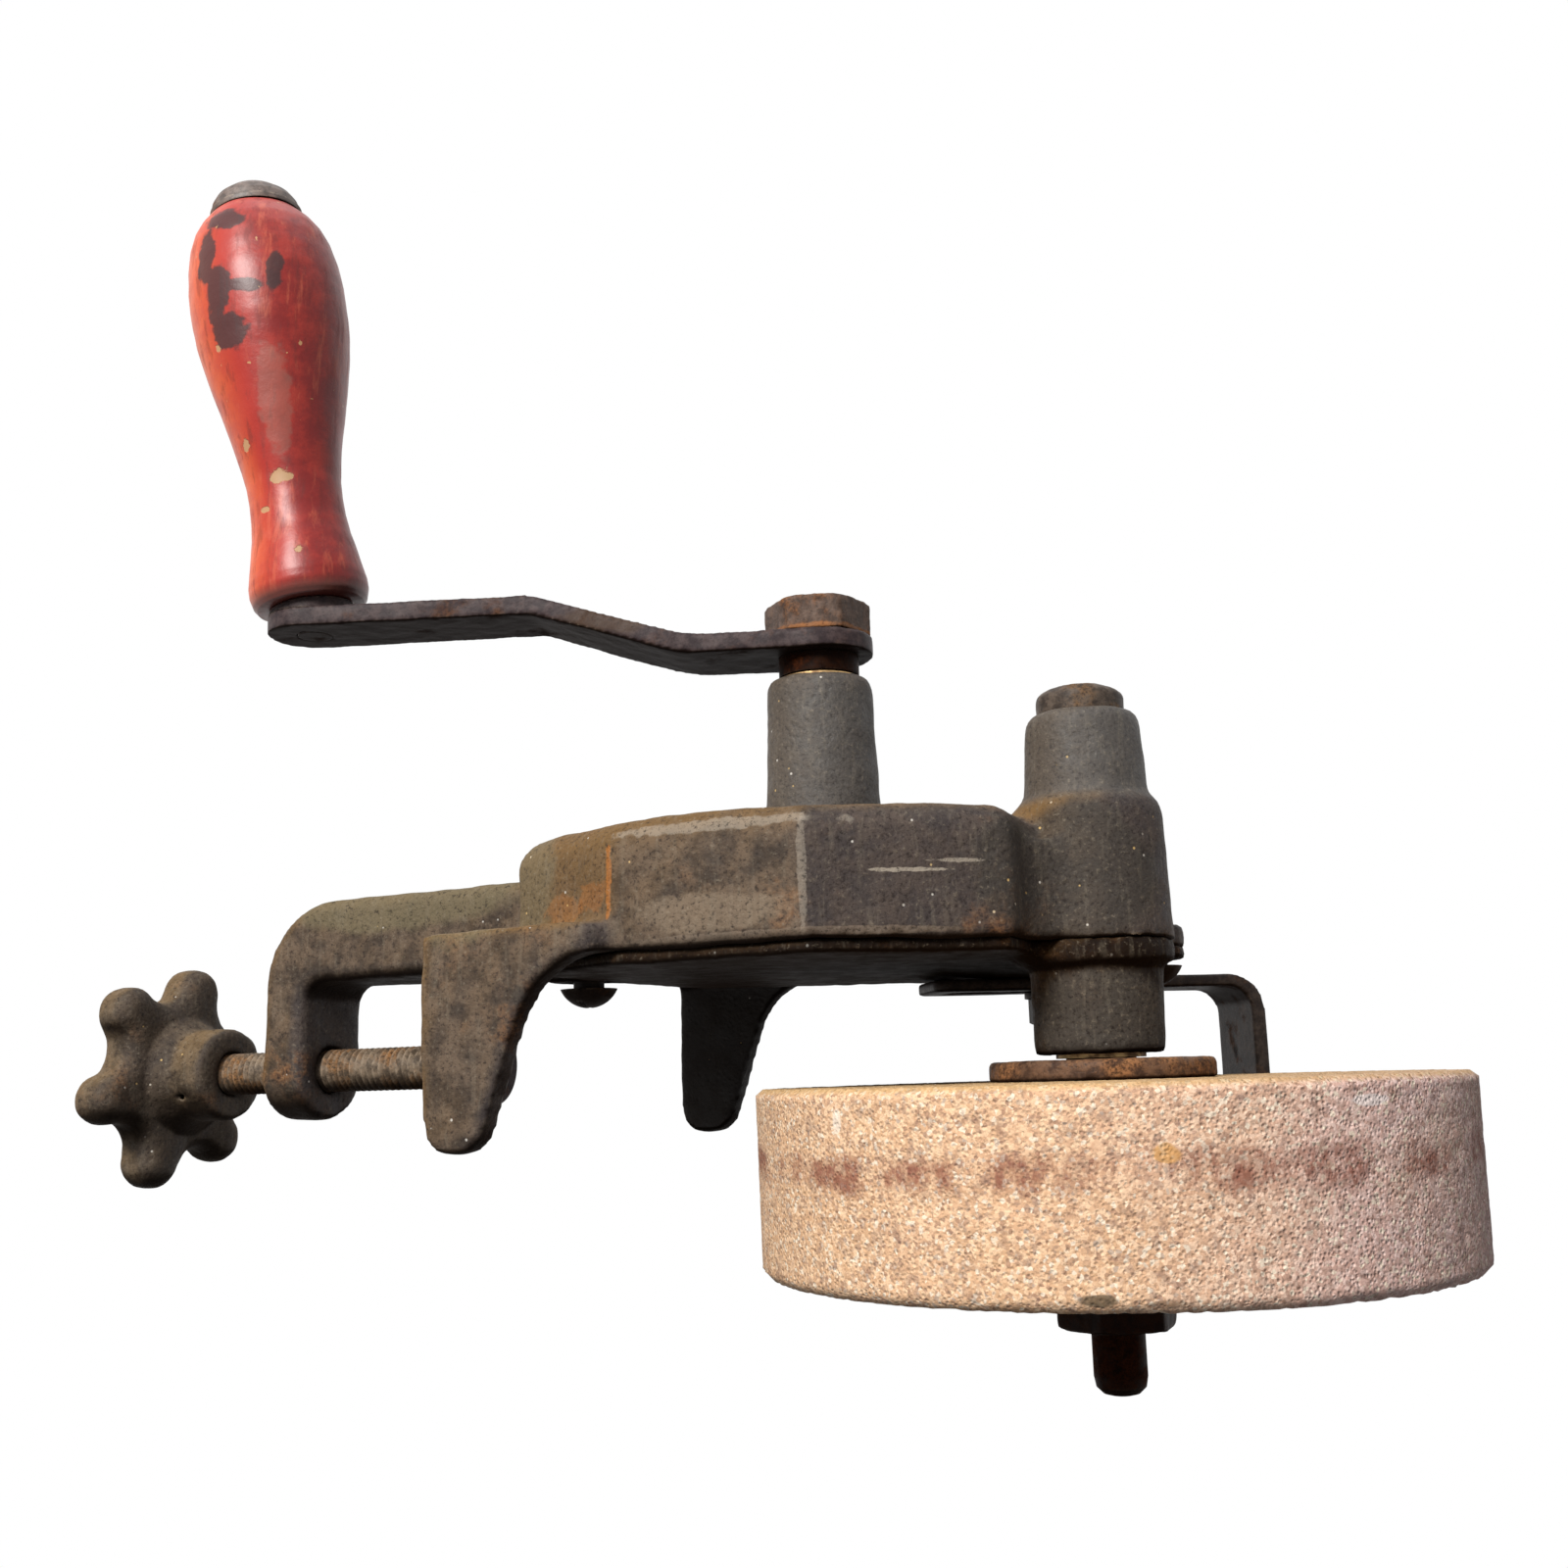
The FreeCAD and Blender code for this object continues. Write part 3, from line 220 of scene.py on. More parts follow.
def softened(name, node, voxel, rounds, lumps, seed, move=None):
    shape = copied(node)
    if move:
        for vertex in shape.verts:
            vertex.co = move(vertex.co * MM_PER_M) / MM_PER_M
    rough = to_object(shape, "rough_" + name)
    squares = rough.modifiers.new("squares", "REMESH")
    squares.mode = "VOXEL"
    squares.voxel_size = voxel / MM_PER_M
    smooth = rough.modifiers.new("smooth", "SMOOTH")
    smooth.factor = 0.5
    smooth.iterations = rounds
    graph = bpy.context.evaluated_depsgraph_get()
    mesh = bpy.data.meshes.new_from_object(rough.evaluated_get(graph), depsgraph=graph)
    bpy.data.objects.remove(rough)
    shape = bmesh.new()
    shape.from_mesh(mesh)
    bpy.data.meshes.remove(mesh)
    uneven(shape, lumps, seed)
    lowest, highest = box_before
    for vertex in shape.verts:
        inside = zip(lowest, vertex.co, highest)
        vertex.co = Vector(min(high, max(low, c)) for low, c, high in inside)
    return to_object(shape, name)


def finished(piece, material, body, slot, *stands_for):
    for face in piece.data.polygons:
        face.use_smooth = True
    piece.data.materials.clear()
    piece.data.materials.append(material)
    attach(piece, body)
    if stands_for:
        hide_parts(*stands_for)
    print(piece.name, "faces", len(piece.data.polygons))


def step(value, low, high):
    """0 below low, 1 above high, smooth between."""
    t = min(1.0, max(0.0, (value - low) / (high - low)))
    return t * t * (3 - 2 * t)


def between(value, points):
    """The height of a line through (place, height) points."""
    for (a, low), (b, high) in zip(points, points[1:]):
        if value <= b:
            return low + (high - low) * max(0.0, (value - a) / (b - a))
    return points[-1][1]


# %% [markdown]
# ## Old cast iron
# The case and clamp are a sand casting without paint: a dark skin, pitted and granular, with
# a golden-brown film colour on the faces that look up and to the left in the picture, toward the
# window, so that it is partly painted light; orange rust in patches; near-black painted shade on
# the faces that look down in the picture and a darker, cooler painted shade on those that look
# right; and edges worn lighter. The colour is mixed from broad clouds first and small specks
# last; the specks are partly grains and partly painted glints, and the same specks and pits feed
# the bump, so colour and relief agree.

# %% Cast iron finish
# Directions are named as the picture shows them, where the wheel is at the bottom.
TO_THE_RIGHT = (0.3, 0.0, 0.95)
TO_UPPER_LEFT = (0.25, -0.60, -0.76)
DOWNWARD = (0.0, 1.0, 0.0)
CRACK_BLACK = rgb(0.014, 0.010, 0.009)


def cast_iron(name, shift, look, marks=(), last=()):
    """marks and last: (mask maker, colour, amount), under the fine grain and over it."""
    material, tree = start(name)
    at = place(tree, shift=shift)
    broad = cloud(tree, at, 38.0, 4.0)
    middle = cloud(tree, at, 190.0, 6.0, 0.65)
    fine = cloud(tree, at, 1050.0, 5.0, 0.7)
    grit = cloud(tree, at, 2400.0, 3.0, 0.7)
    streaks = cloud(tree, place(tree, (1, 0.12, 1), shift), 700.0, 4.0, 0.6)
    soft = rounded(tree, 0.0008)
    colour = over(tree, ease(tree, middle, 0.36, 0.64), look["dark"], look["pale"])
    # painted shade: the faces that look right in the picture, away from the window, get a darker, cooler
    # colour
    right_side_shade = times(tree, facing(tree, TO_THE_RIGHT, 0.2, 0.85), 0.7)
    colour = over(tree, right_side_shade, colour, look["right_side_shade"])
    # film colour and painted light: the faces toward the window, up and left in the picture, get a lighter
    # golden-brown
    window_facing = times(tree, facing(tree, TO_UPPER_LEFT, 0.12, 0.75), ease(tree, broad, 0.30, 0.52, 0.35, 1.0))
    colour = over(tree, times(tree, window_facing, look["film_and_light_amount"]), colour, look["film_and_light"])
    patch_at = place(tree, shift=(shift[0] + 3.1, 1.7, shift[2]))
    patch = ease(tree, cloud(tree, patch_at, 34.0, 6.0, 0.62), 0.54, 0.68)
    rust = times(tree, patch, ease(tree, middle, 0.42, 0.60))
    rust_colour = over(tree, ease(tree, fine, 0.4, 0.62), rgb(0.09, 0.032, 0.012), rgb(0.30, 0.125, 0.035))
    colour = over(tree, times(tree, rust, look["rust_amount"]), colour, rust_colour)
    for mask, paint, amount in marks:
        colour = over(tree, times(tree, mask(tree), amount), colour, paint)
    colour = over(tree, times(tree, ease(tree, streaks, 0.52, 0.66), 0.11), colour, rgb(0.30, 0.26, 0.20))
    colour = over(tree, times(tree, ease(tree, fine, 0.55, 0.72), 0.45), colour, rgb(0.26, 0.22, 0.165))
    colour = over(tree, times(tree, ease(tree, fine, 0.47, 0.33), 0.75), colour, CRACK_BLACK)
    colour = over(tree, times(tree, ease(tree, grit, 0.46, 0.30), 0.6), colour, rgb(0.012, 0.009, 0.008))
    worn = times(tree, edges(tree, soft, 0.90, 0.995), ease(tree, middle, 0.42, 0.60))
    colour = over(tree, times(tree, worn, 0.55), colour, rgb(0.40, 0.32, 0.22))
    colour = over(tree, times(tree, hollows(tree, 0.006), 0.7), colour, rgb(0.012, 0.007, 0.005))
    # painted shade: the faces that look down in the picture are painted near black, with fewer specks and a
    # lower specular level
    under = facing(tree, DOWNWARD, 0.05, 0.75)
    colour = over(tree, times(tree, under, look["soot_and_shade"]), colour, rgb(0.012, 0.008, 0.006))
    for mask, paint, amount in last:
        colour = over(tree, times(tree, mask(tree), amount), colour, paint)
    # specks: partly grains of rust and dust, partly painted glints, fewer on the faces that look down
    pick = put(tree, "ShaderNodeSeparateColor", {0: cells(tree, at, 620.0, "Color")}).outputs
    tiny = times(tree, ease(tree, cells(tree, at, 620.0), 0.20, 0.10), ease(tree, pick[0], 0.955, 0.975))
    speck_and_glint_colour = over(tree, ease(tree, pick[1], 0.4, 0.6), rgb(0.80, 0.55, 0.22), rgb(0.75, 0.72, 0.66))
    speck_and_glint_share = ease(tree, under, 0.0, 0.5, look["specks_and_glints"], 0.0)
    colour = over(tree, times(tree, tiny, speck_and_glint_share), colour, speck_and_glint_colour)
    pits = ease(tree, cells(tree, at, 620.0), 0.45, 0.10)
    relief = times(tree, times(tree, middle, 0.55), times(tree, fine, 0.40), "ADD")
    relief = times(tree, relief, times(tree, pits, 0.16), "SUBTRACT")
    relief = times(tree, relief, times(tree, grit, 0.08), "ADD")
    rough = ease(tree, middle, 0.3, 0.7, look["rough"] - 0.08, look["rough"] + 0.10)
    shine = times(tree, ease(tree, under, 0.0, 0.6, 1.0, 0.08), look["shine"])
    if "gleam" in look:
        shine = times(tree, shine, times(tree, look["gleam"](tree), 0.28), "ADD")
    close(tree, colour, rough, 0.0, relief, look["relief"], soft, {"Specular IOR Level": shine})
    return material


def dress(material, *names):
    for name in names:
        for slot in nodes[name].material_slots:
            slot.material = material
    print(material.name, "on", ", ".join(names))


def mark(centre, reach, ragged=0.5, grain=400.0):
    return lambda tree: spot(tree, centre, reach, ragged, grain)


BOSS_BAND_FROM = -0.0245
BOSS_BAND_FULL = -0.0275


def boss_band(tree):
    """The bosses above the case, which hands have rubbed grey."""
    y = put(tree, "ShaderNodeSeparateXYZ", {0: place(tree)}).outputs[1]
    return ease(tree, y, BOSS_BAND_FROM, BOSS_BAND_FULL)


CASE_LOOK = {"dark": rgb(0.046, 0.034, 0.026), "pale": rgb(0.142, 0.102, 0.072),
             "right_side_shade": rgb(0.052, 0.044, 0.046), "film_and_light": rgb(0.170, 0.096, 0.034),
             "film_and_light_amount": 0.85, "rust_amount": 0.55, "soot_and_shade": 0.97,
             "rough": 0.60, "shine": 0.13, "relief": 0.00050, "specks_and_glints": 0.7}
ORANGE = rgb(0.42, 0.15, 0.03)
BRIGHT = rgb(0.50, 0.44, 0.36)
OLIVE = rgb(0.165, 0.135, 0.080)
case_marks = [
    (boss_band, rgb(0.062, 0.056, 0.050), 0.80),
    (mark((24, -12, 114), (34, 16, 17), 0.5, 80.0), rgb(0.048, 0.042, 0.036), 0.75),
    (mark((8, -19, -40), (70, 9, 36), 0.6, 60.0), OLIVE, 0.75),
    (mark((46, -16, 10), (20, 16, 14), 0.8, 90.0), OLIVE, 0.6),
    (mark((50.1, -13.0, 37.6), (2.0, 7.5, 0.8), 1.7, 400.0), ORANGE, 0.65),
    (mark((43.1, -8.4, 24.2), (6, 3.6, 6), 1.6, 420.0), ORANGE, 0.25),
    (mark((47.5, -10.1, 33.2), (5, 3.0, 5.5), 1.6, 420.0), ORANGE, 0.28),
    (mark((50.1, -12, 75.2), (2.5, 12, 0.9), 1.9, 500.0), BRIGHT, 0.25),
    (mark((46, -20.5, 58), (8, 1.4, 24), 1.8, 300.0), BRIGHT, 0.3),
    (mark((39.5, -11.4, 90.5), (7.0, 0.40, 9.5), 1.7, 600.0), BRIGHT, 0.6),
    (mark((34.0, -13.0, 98.2), (4.6, 0.42, 6.5), 1.7, 600.0), BRIGHT, 0.5),
    (mark((50.1, -5.5, 58.0), (3, 4.0, 15), 1.0, 200.0), rgb(0.20, 0.15, 0.105), 0.7),
    (mark((44, -1.2, 72), (14, 0.9, 44), 0.8, 300.0), rgb(0.26, 0.20, 0.15), 0.5),
]
# painted shadow: the far foot, in the shade of the case, is painted near black
far_foot_shadow = (mark((-52, 10, 16), (13, 60, 60), 0.0), rgb(0.006, 0.004, 0.003), 0.97)
foot_corner = (mark((53, -19, -2.5), (6, 2.2, 4.5), 0.9, 500.0), rgb(0.55, 0.50, 0.42), 0.7)
case_iron = cast_iron("case_iron", (0.0, 0.0, 0.0), dict(CASE_LOOK, gleam=boss_band),
                      case_marks, (far_foot_shadow, foot_corner))
# painted shade: the cover faces down in the picture, so it gets a near-black copy of the case iron
COVER_SHADE_LOOK = dict(CASE_LOOK, dark=rgb(0.008, 0.004, 0.0025), pale=rgb(0.024, 0.013, 0.007),
                  right_side_shade=rgb(0.010, 0.006, 0.004), film_and_light_amount=0.2, rust_amount=0.35, shine=0.05,
                  specks_and_glints=0.2)
tube_grey = (mark((6.5, 14, 114.2), (15, 11, 14), 0.3), rgb(0.066, 0.058, 0.050), 0.85)
cover_iron = cast_iron("cover_iron", (0.4, 0.2, 0.1), COVER_SHADE_LOOK, [tube_grey])
KNOB_LOOK = dict(CASE_LOOK, dark=rgb(0.050, 0.036, 0.024), pale=rgb(0.165, 0.120, 0.078),
                 right_side_shade=rgb(0.060, 0.046, 0.038), film_and_light=rgb(0.20, 0.125, 0.055), film_and_light_amount=0.55,
                 rust_amount=0.4, soot_and_shade=0.9)
knob_iron = cast_iron("knob_iron", (0.7, 0.5, 0.9), KNOB_LOOK)
dress(case_iron, "frame_casting")
dress(cover_iron, "case_cover")
dress(knob_iron, "star_knob")

# %% [markdown]
# ## Steel that has darkened, and steel that has rusted
# The crank arm is bar steel with a purple-brown skin that has rubbed thin along its edges.
# Nuts, flanges and screws are rustier: orange-brown powder over dark metal. The hollows are
# darkened, and the faces that look down in the picture get near-black painted shade. One recipe
# serves both, with the share of rust as a number.

# %% Steel finishes
def old_steel(name, shift, dark, pale, rust, rust_low, rust_high, worn_amount,
              depth=0.00014, shine=0.14, marks=()):
    material, tree = start(name)
    at = place(tree, shift=shift)
    broad = cloud(tree, at, 95.0, 5.0, 0.6)
    middle = cloud(tree, at, 430.0, 5.0, 0.65)
    fine = cloud(tree, at, 1700.0, 4.0, 0.65)
    soft = rounded(tree, 0.0006)
    colour = over(tree, ease(tree, middle, 0.36, 0.64), dark, pale)
    rusty = ease(tree, broad, rust_low, rust_high)
    rust_colour = over(tree, ease(tree, fine, 0.38, 0.62), rgb(*[0.38 * c for c in rust]), rgb(*rust))
    colour = over(tree, times(tree, rusty, ease(tree, middle, 0.34, 0.56)), colour, rust_colour)
    for mask, paint, amount in marks:
        colour = over(tree, times(tree, mask(tree), amount), colour, paint)
    colour = over(tree, times(tree, ease(tree, fine, 0.46, 0.32), 0.6), colour, CRACK_BLACK)
    worn = times(tree, edges(tree, soft, 0.92, 0.995), ease(tree, middle, 0.38, 0.58))
    colour = over(tree, times(tree, worn, worn_amount), colour, rgb(0.36, 0.29, 0.22))
    colour = over(tree, times(tree, hollows(tree, 0.003), 0.6), colour, rgb(0.016, 0.009, 0.006))
    # painted shade: the faces that look down in the picture are painted near black
    under = facing(tree, DOWNWARD, 0.1, 0.8)
    colour = over(tree, times(tree, under, 0.90), colour, rgb(0.012, 0.007, 0.005))
    rough = ease(tree, rusty, 0.0, 1.0, 0.50, 0.82)
    lit = times(tree, ease(tree, under, 0.0, 0.6, 1.0, 0.1), shine)
    relief = times(tree, times(tree, middle, 0.7), times(tree, fine, 0.3), "ADD")
    close(tree, colour, rough, 0.0, relief, depth, soft, {"Specular IOR Level": lit})
    return material


arm_steel = old_steel("arm_steel", (0.1, 0.0, 0.3), rgb(0.026, 0.017, 0.019), rgb(0.066, 0.046, 0.046),
                      (0.10, 0.045, 0.024), 0.54, 0.72, 0.60,
                      marks=[(mark((14, -70, 20), (14, 6, 22), 0.8, 120.0), rgb(0.055, 0.030, 0.016), 0.7)])
rest_steel = old_steel("rest_steel", (0.5, 0.2, 0.3), rgb(0.020, 0.014, 0.012), rgb(0.058, 0.043, 0.036),
                       (0.13, 0.06, 0.03), 0.52, 0.68, 0.45)
nut_rust = (mark((0, -65.8, 58.9), (14, 1.4, 14), 0.8, 300.0), rgb(0.34, 0.14, 0.05), 0.8)
nut_steel = old_steel("nut_steel", (0.9, 0.1, 0.6), rgb(0.055, 0.034, 0.025), rgb(0.135, 0.088, 0.066),
                      (0.25, 0.10, 0.035), 0.48, 0.64, 0.5, depth=0.00022, marks=[nut_rust])
screw_steel = old_steel("screw_steel", (0.7, 0.3, 0.1), rgb(0.075, 0.055, 0.038), rgb(0.24, 0.18, 0.125),
                        (0.30, 0.15, 0.06), 0.46, 0.62, 0.6, depth=0.00010)
# painted shade: a near-black copy of the old steel for the shafts, arbor nut and outer flange that sit in
# shadow
shadow_steel = old_steel("shadow_steel", (0.2, 0.9, 0.4), rgb(0.006, 0.002, 0.001), rgb(0.020, 0.007, 0.003),
                      (0.050, 0.014, 0.005), 0.50, 0.66, 0.10, shine=0.03)
flange_steel = old_steel("flange_steel", (0.3, 0.8, 0.2), rgb(0.045, 0.024, 0.016), rgb(0.145, 0.080, 0.048),
                         (0.30, 0.14, 0.060), 0.40, 0.58, 0.6, depth=0.00035)
shaft_steel = old_steel("shaft_steel", (0.2, 0.4, 0.7), rgb(0.12, 0.09, 0.07), rgb(0.28, 0.23, 0.18),
                        (0.30, 0.15, 0.06), 0.48, 0.64, 0.8)
cap_steel = old_steel("cap_steel", (0.6, 0.6, 0.1), rgb(0.038, 0.028, 0.022), rgb(0.110, 0.084, 0.066),
                      (0.20, 0.11, 0.05), 0.48, 0.66, 0.6, depth=0.0002)
horn_steel = old_steel("horn_steel", (0.4, 0.1, 0.8), rgb(0.062, 0.045, 0.038), rgb(0.150, 0.112, 0.096),
                       (0.16, 0.08, 0.05), 0.50, 0.66, 0.6, depth=0.00010, shine=0.5)
dress(arm_steel, "crank_arm", "handle_washer", "handle_pin", "swivel_pad")
dress(horn_steel, "handle_cap")
dress(rest_steel, "tool_rest", "rest_bolt", "rest_washer", "rest_nut", "toe_screw", "corner_screw")
dress(nut_steel, "crank_nut")
dress(shadow_steel, "arbor_nut", "outer_flange", "arbor_shaft", "crank_shaft")
dress(screw_steel, "clamp_screw")
dress(flange_steel, "inner_flange")
dress(shaft_steel, "knob_pin", "gear_pin", "arbor_pinion", "crank_gear")
dress(cap_steel, "arbor_cap")

# %% [markdown]
# ## Bronze bushes and the lead in the wheel's eye
# These pieces hide between others and show only as thin rings, so a soft cloud of tarnish and
# fine turning marks are enough.

# %% Bearing metals
def bearing_metal(name, bright, tarnish):
    material, tree = start(name)
    at = place(tree)
    stain = ease(tree, cloud(tree, at, 260.0, 5.0), 0.38, 0.62)
    colour = over(tree, stain, bright, tarnish)
    rings = cloud(tree, place(tree, stretch=(1, 8, 1)), 900.0, 3.0)
    close(tree, colour, ease(tree, stain, 0, 1, 0.35, 0.6), 0.85, rings, 0.00005)
    return material


dress(bearing_metal("bearing_bronze", rgb(0.55, 0.36, 0.16), rgb(0.20, 0.12, 0.06)),
      "crank_bush", "arbor_upper_bush", "arbor_lower_bush")
dress(bearing_metal("cast_lead", rgb(0.30, 0.30, 0.31), rgb(0.14, 0.13, 0.12)), "wheel_bush")

# %% [markdown]
# ## The abrasive wheel
# A vitrified wheel is grains of grit in a glassy bond. Seen close, each grain has its own
# colour: tan, pink, white and nearly black. Voronoi cells give one random number to each grain,
# which picks its colour. The stone is tan on the side where it was used wet and pinkish grey on
# the other, and a broken reddish-brown line of old rust runs round the rim.

# %% Stone finish
STONE_STAINS = (((62.2, 55.6, 124.6), (4, 1.1, 3.2), rgb(0.10, 0.075, 0.045), 0.85),
                ((61.0, 56.2, 134.5), (4, 0.8, 4.5), rgb(0.14, 0.09, 0.055), 0.55),
                ((59.2, 35.3, 134.8), (4, 1.6, 2.2), rgb(0.62, 0.32, 0.09), 0.7),
                ((39.8, 28.6, 161.7), (4, 1.0, 4.0), rgb(0.92, 0.88, 0.86), 0.55),
                ((56.0, 30.0, 82.5), (4, 2.2, 1.0), rgb(0.95, 0.86, 0.74), 0.6))
FACE_EDGE_FROM = 0.0262
FACE_EDGE_FULL = 0.0251
GRAIN_SCALE = 1700.0
RUST_BAND_Y = 0.0377
RUST_BAND_HALF = 0.0040


def vitrified_stone(name, grain_scale, band_at, band_half):
    material, tree = start(name)
    at = place(tree)
    pick = put(tree, "ShaderNodeSeparateColor", {0: cells(tree, at, grain_scale, "Color")}).outputs
    large = put(tree, "ShaderNodeSeparateColor", {0: cells(tree, at, grain_scale * 0.55, "Color")}).outputs
    broad = cloud(tree, at, 30.0, 5.0)
    fine = cloud(tree, at, 2300.0, 4.0, 0.7)
    blotchy = cloud(tree, at, 340.0, 5.0, 0.7)
    split = put(tree, "ShaderNodeSeparateXYZ", {0: at}).outputs
    aside = times(tree, ease(tree, split[2], 0.118, 0.172), ease(tree, broad, 0.25, 0.60, 0.55, 1.0))
    tan = over(tree, ease(tree, broad, 0.38, 0.62), rgb(0.70, 0.435, 0.255), rgb(0.73, 0.455, 0.285))
    colour = over(tree, aside, tan, rgb(0.70, 0.465, 0.420))
    bright_grain = ease(tree, pick[0], 0.30, 0.80)
    grain_colour = over(tree, aside, rgb(0.90, 0.62, 0.40), rgb(0.88, 0.66, 0.62))
    colour = over(tree, bright_grain, colour, grain_colour)
    colour = over(tree, times(tree, ease(tree, pick[1], 0.84, 0.92), 0.85), colour, rgb(0.92, 0.80, 0.64))
    colour = over(tree, times(tree, ease(tree, pick[2], 0.78, 0.90), 0.55), colour, rgb(0.30, 0.17, 0.125))
    colour = over(tree, times(tree, ease(tree, large[1], 0.90, 0.96), 0.35), colour, rgb(0.22, 0.15, 0.14))
    colour = over(tree, times(tree, ease(tree, blotchy, 0.47, 0.34), 0.55), colour, rgb(0.30, 0.175, 0.125))
    colour = over(tree, times(tree, ease(tree, fine, 0.47, 0.33), 0.55), colour, rgb(0.20, 0.12, 0.09))
    off = put(tree, "ShaderNodeMath", {0: split[1], 1: band_at}, operation="SUBTRACT").outputs[0]
    wander = {0: cloud(tree, at, 90.0, 3.0), 1: 0.008, 2: -0.004}
    wavy = put(tree, "ShaderNodeMath", wander, operation="MULTIPLY_ADD").outputs[0]
    off = put(tree, "ShaderNodeMath", {0: off, 1: wavy}, operation="ADD").outputs[0]
    off = put(tree, "ShaderNodeMath", {0: off}, operation="ABSOLUTE").outputs[0]
    band = ease(tree, off, band_half, 0.3 * band_half)
    broken = ease(tree, cloud(tree, place(tree, (1, 0.4, 1)), 62.0, 6.0, 0.75), 0.40, 0.56)
    band = times(tree, times(tree, band, broken), ease(tree, blotchy, 0.30, 0.55))
    colour = over(tree, times(tree, band, 0.85), colour, rgb(0.25, 0.085, 0.055))
    for centre, reach, paint, amount in STONE_STAINS:
        colour = over(tree, times(tree, spot(tree, centre, reach, 0.8, 500.0), amount), colour, paint)
    rim = ease(tree, split[1], FACE_EDGE_FROM, FACE_EDGE_FULL)
    colour = over(tree, times(tree, rim, 0.6), colour, rgb(0.52, 0.33, 0.12))
    pits = ease(tree, cells(tree, at, grain_scale * 0.8), 0.0, 0.6)
    relief = times(tree, times(tree, pits, 0.6), times(tree, fine, 0.5), "ADD")
    close(tree, colour, 0.9, 0.0, relief, 0.00030, rounded(tree, 0.0008), {"Specular IOR Level": 0.2})
    return material


stone = vitrified_stone("vitrified_stone", GRAIN_SCALE, RUST_BAND_Y, RUST_BAND_HALF)
dress(stone, "grinding_wheel")

# %% [markdown]
# ## Red lacquer on turned wood
# The grip was lacquered bright red. The side toward the window is orange-red and the far side
# deep red, mostly painted light and painted shade over the paint's own red; a greyish-pink stripe
# down the middle is a painted sheen. A black burn runs down from the fat end, and small chips
# show cream wood.
# The lacquer still shines, so the finish keeps a thin clear coat that chips and soot break.

# %% Lacquered wood finish
GRIP_AT = Vector((36.391, -75.4, -41.083))
GRIP_ALONG = Vector((0.053503, -0.987688, -0.146996))
BURNS = (((55.5, -160.0, -51.5), (5, 3.0, 5.5)), ((57.0, -151.0, -54.5), (6, 8.0, 2.8)),
         ((55.8, -143.0, -51.5), (6, 7.0, 3.4)), ((54.5, -134.0, -48.8), (6, 4.6, 4.2)),
         ((53.6, -147.0, -40.0), (5, 7.0, 1.5)), ((54.5, -143.5, -45.0), (5, 1.6, 5.0)))
CHIPS = (((46.8, -103.6, -41.8), (3, 1.9, 2.7)), ((46.7, -96.7, -45.1), (3, 0.8, 1.5)),
         ((39.0, -106.5, -34.6), (4, 2.2, 1.2)), ((45.3, -87.0, -36.5), (3, 1.0, 0.9)),
         ((48.9, -110.9, -48.8), (3, 1.4, 1.1)), ((56.0, -131.0, -52.5), (3, 1.0, 1.0)))


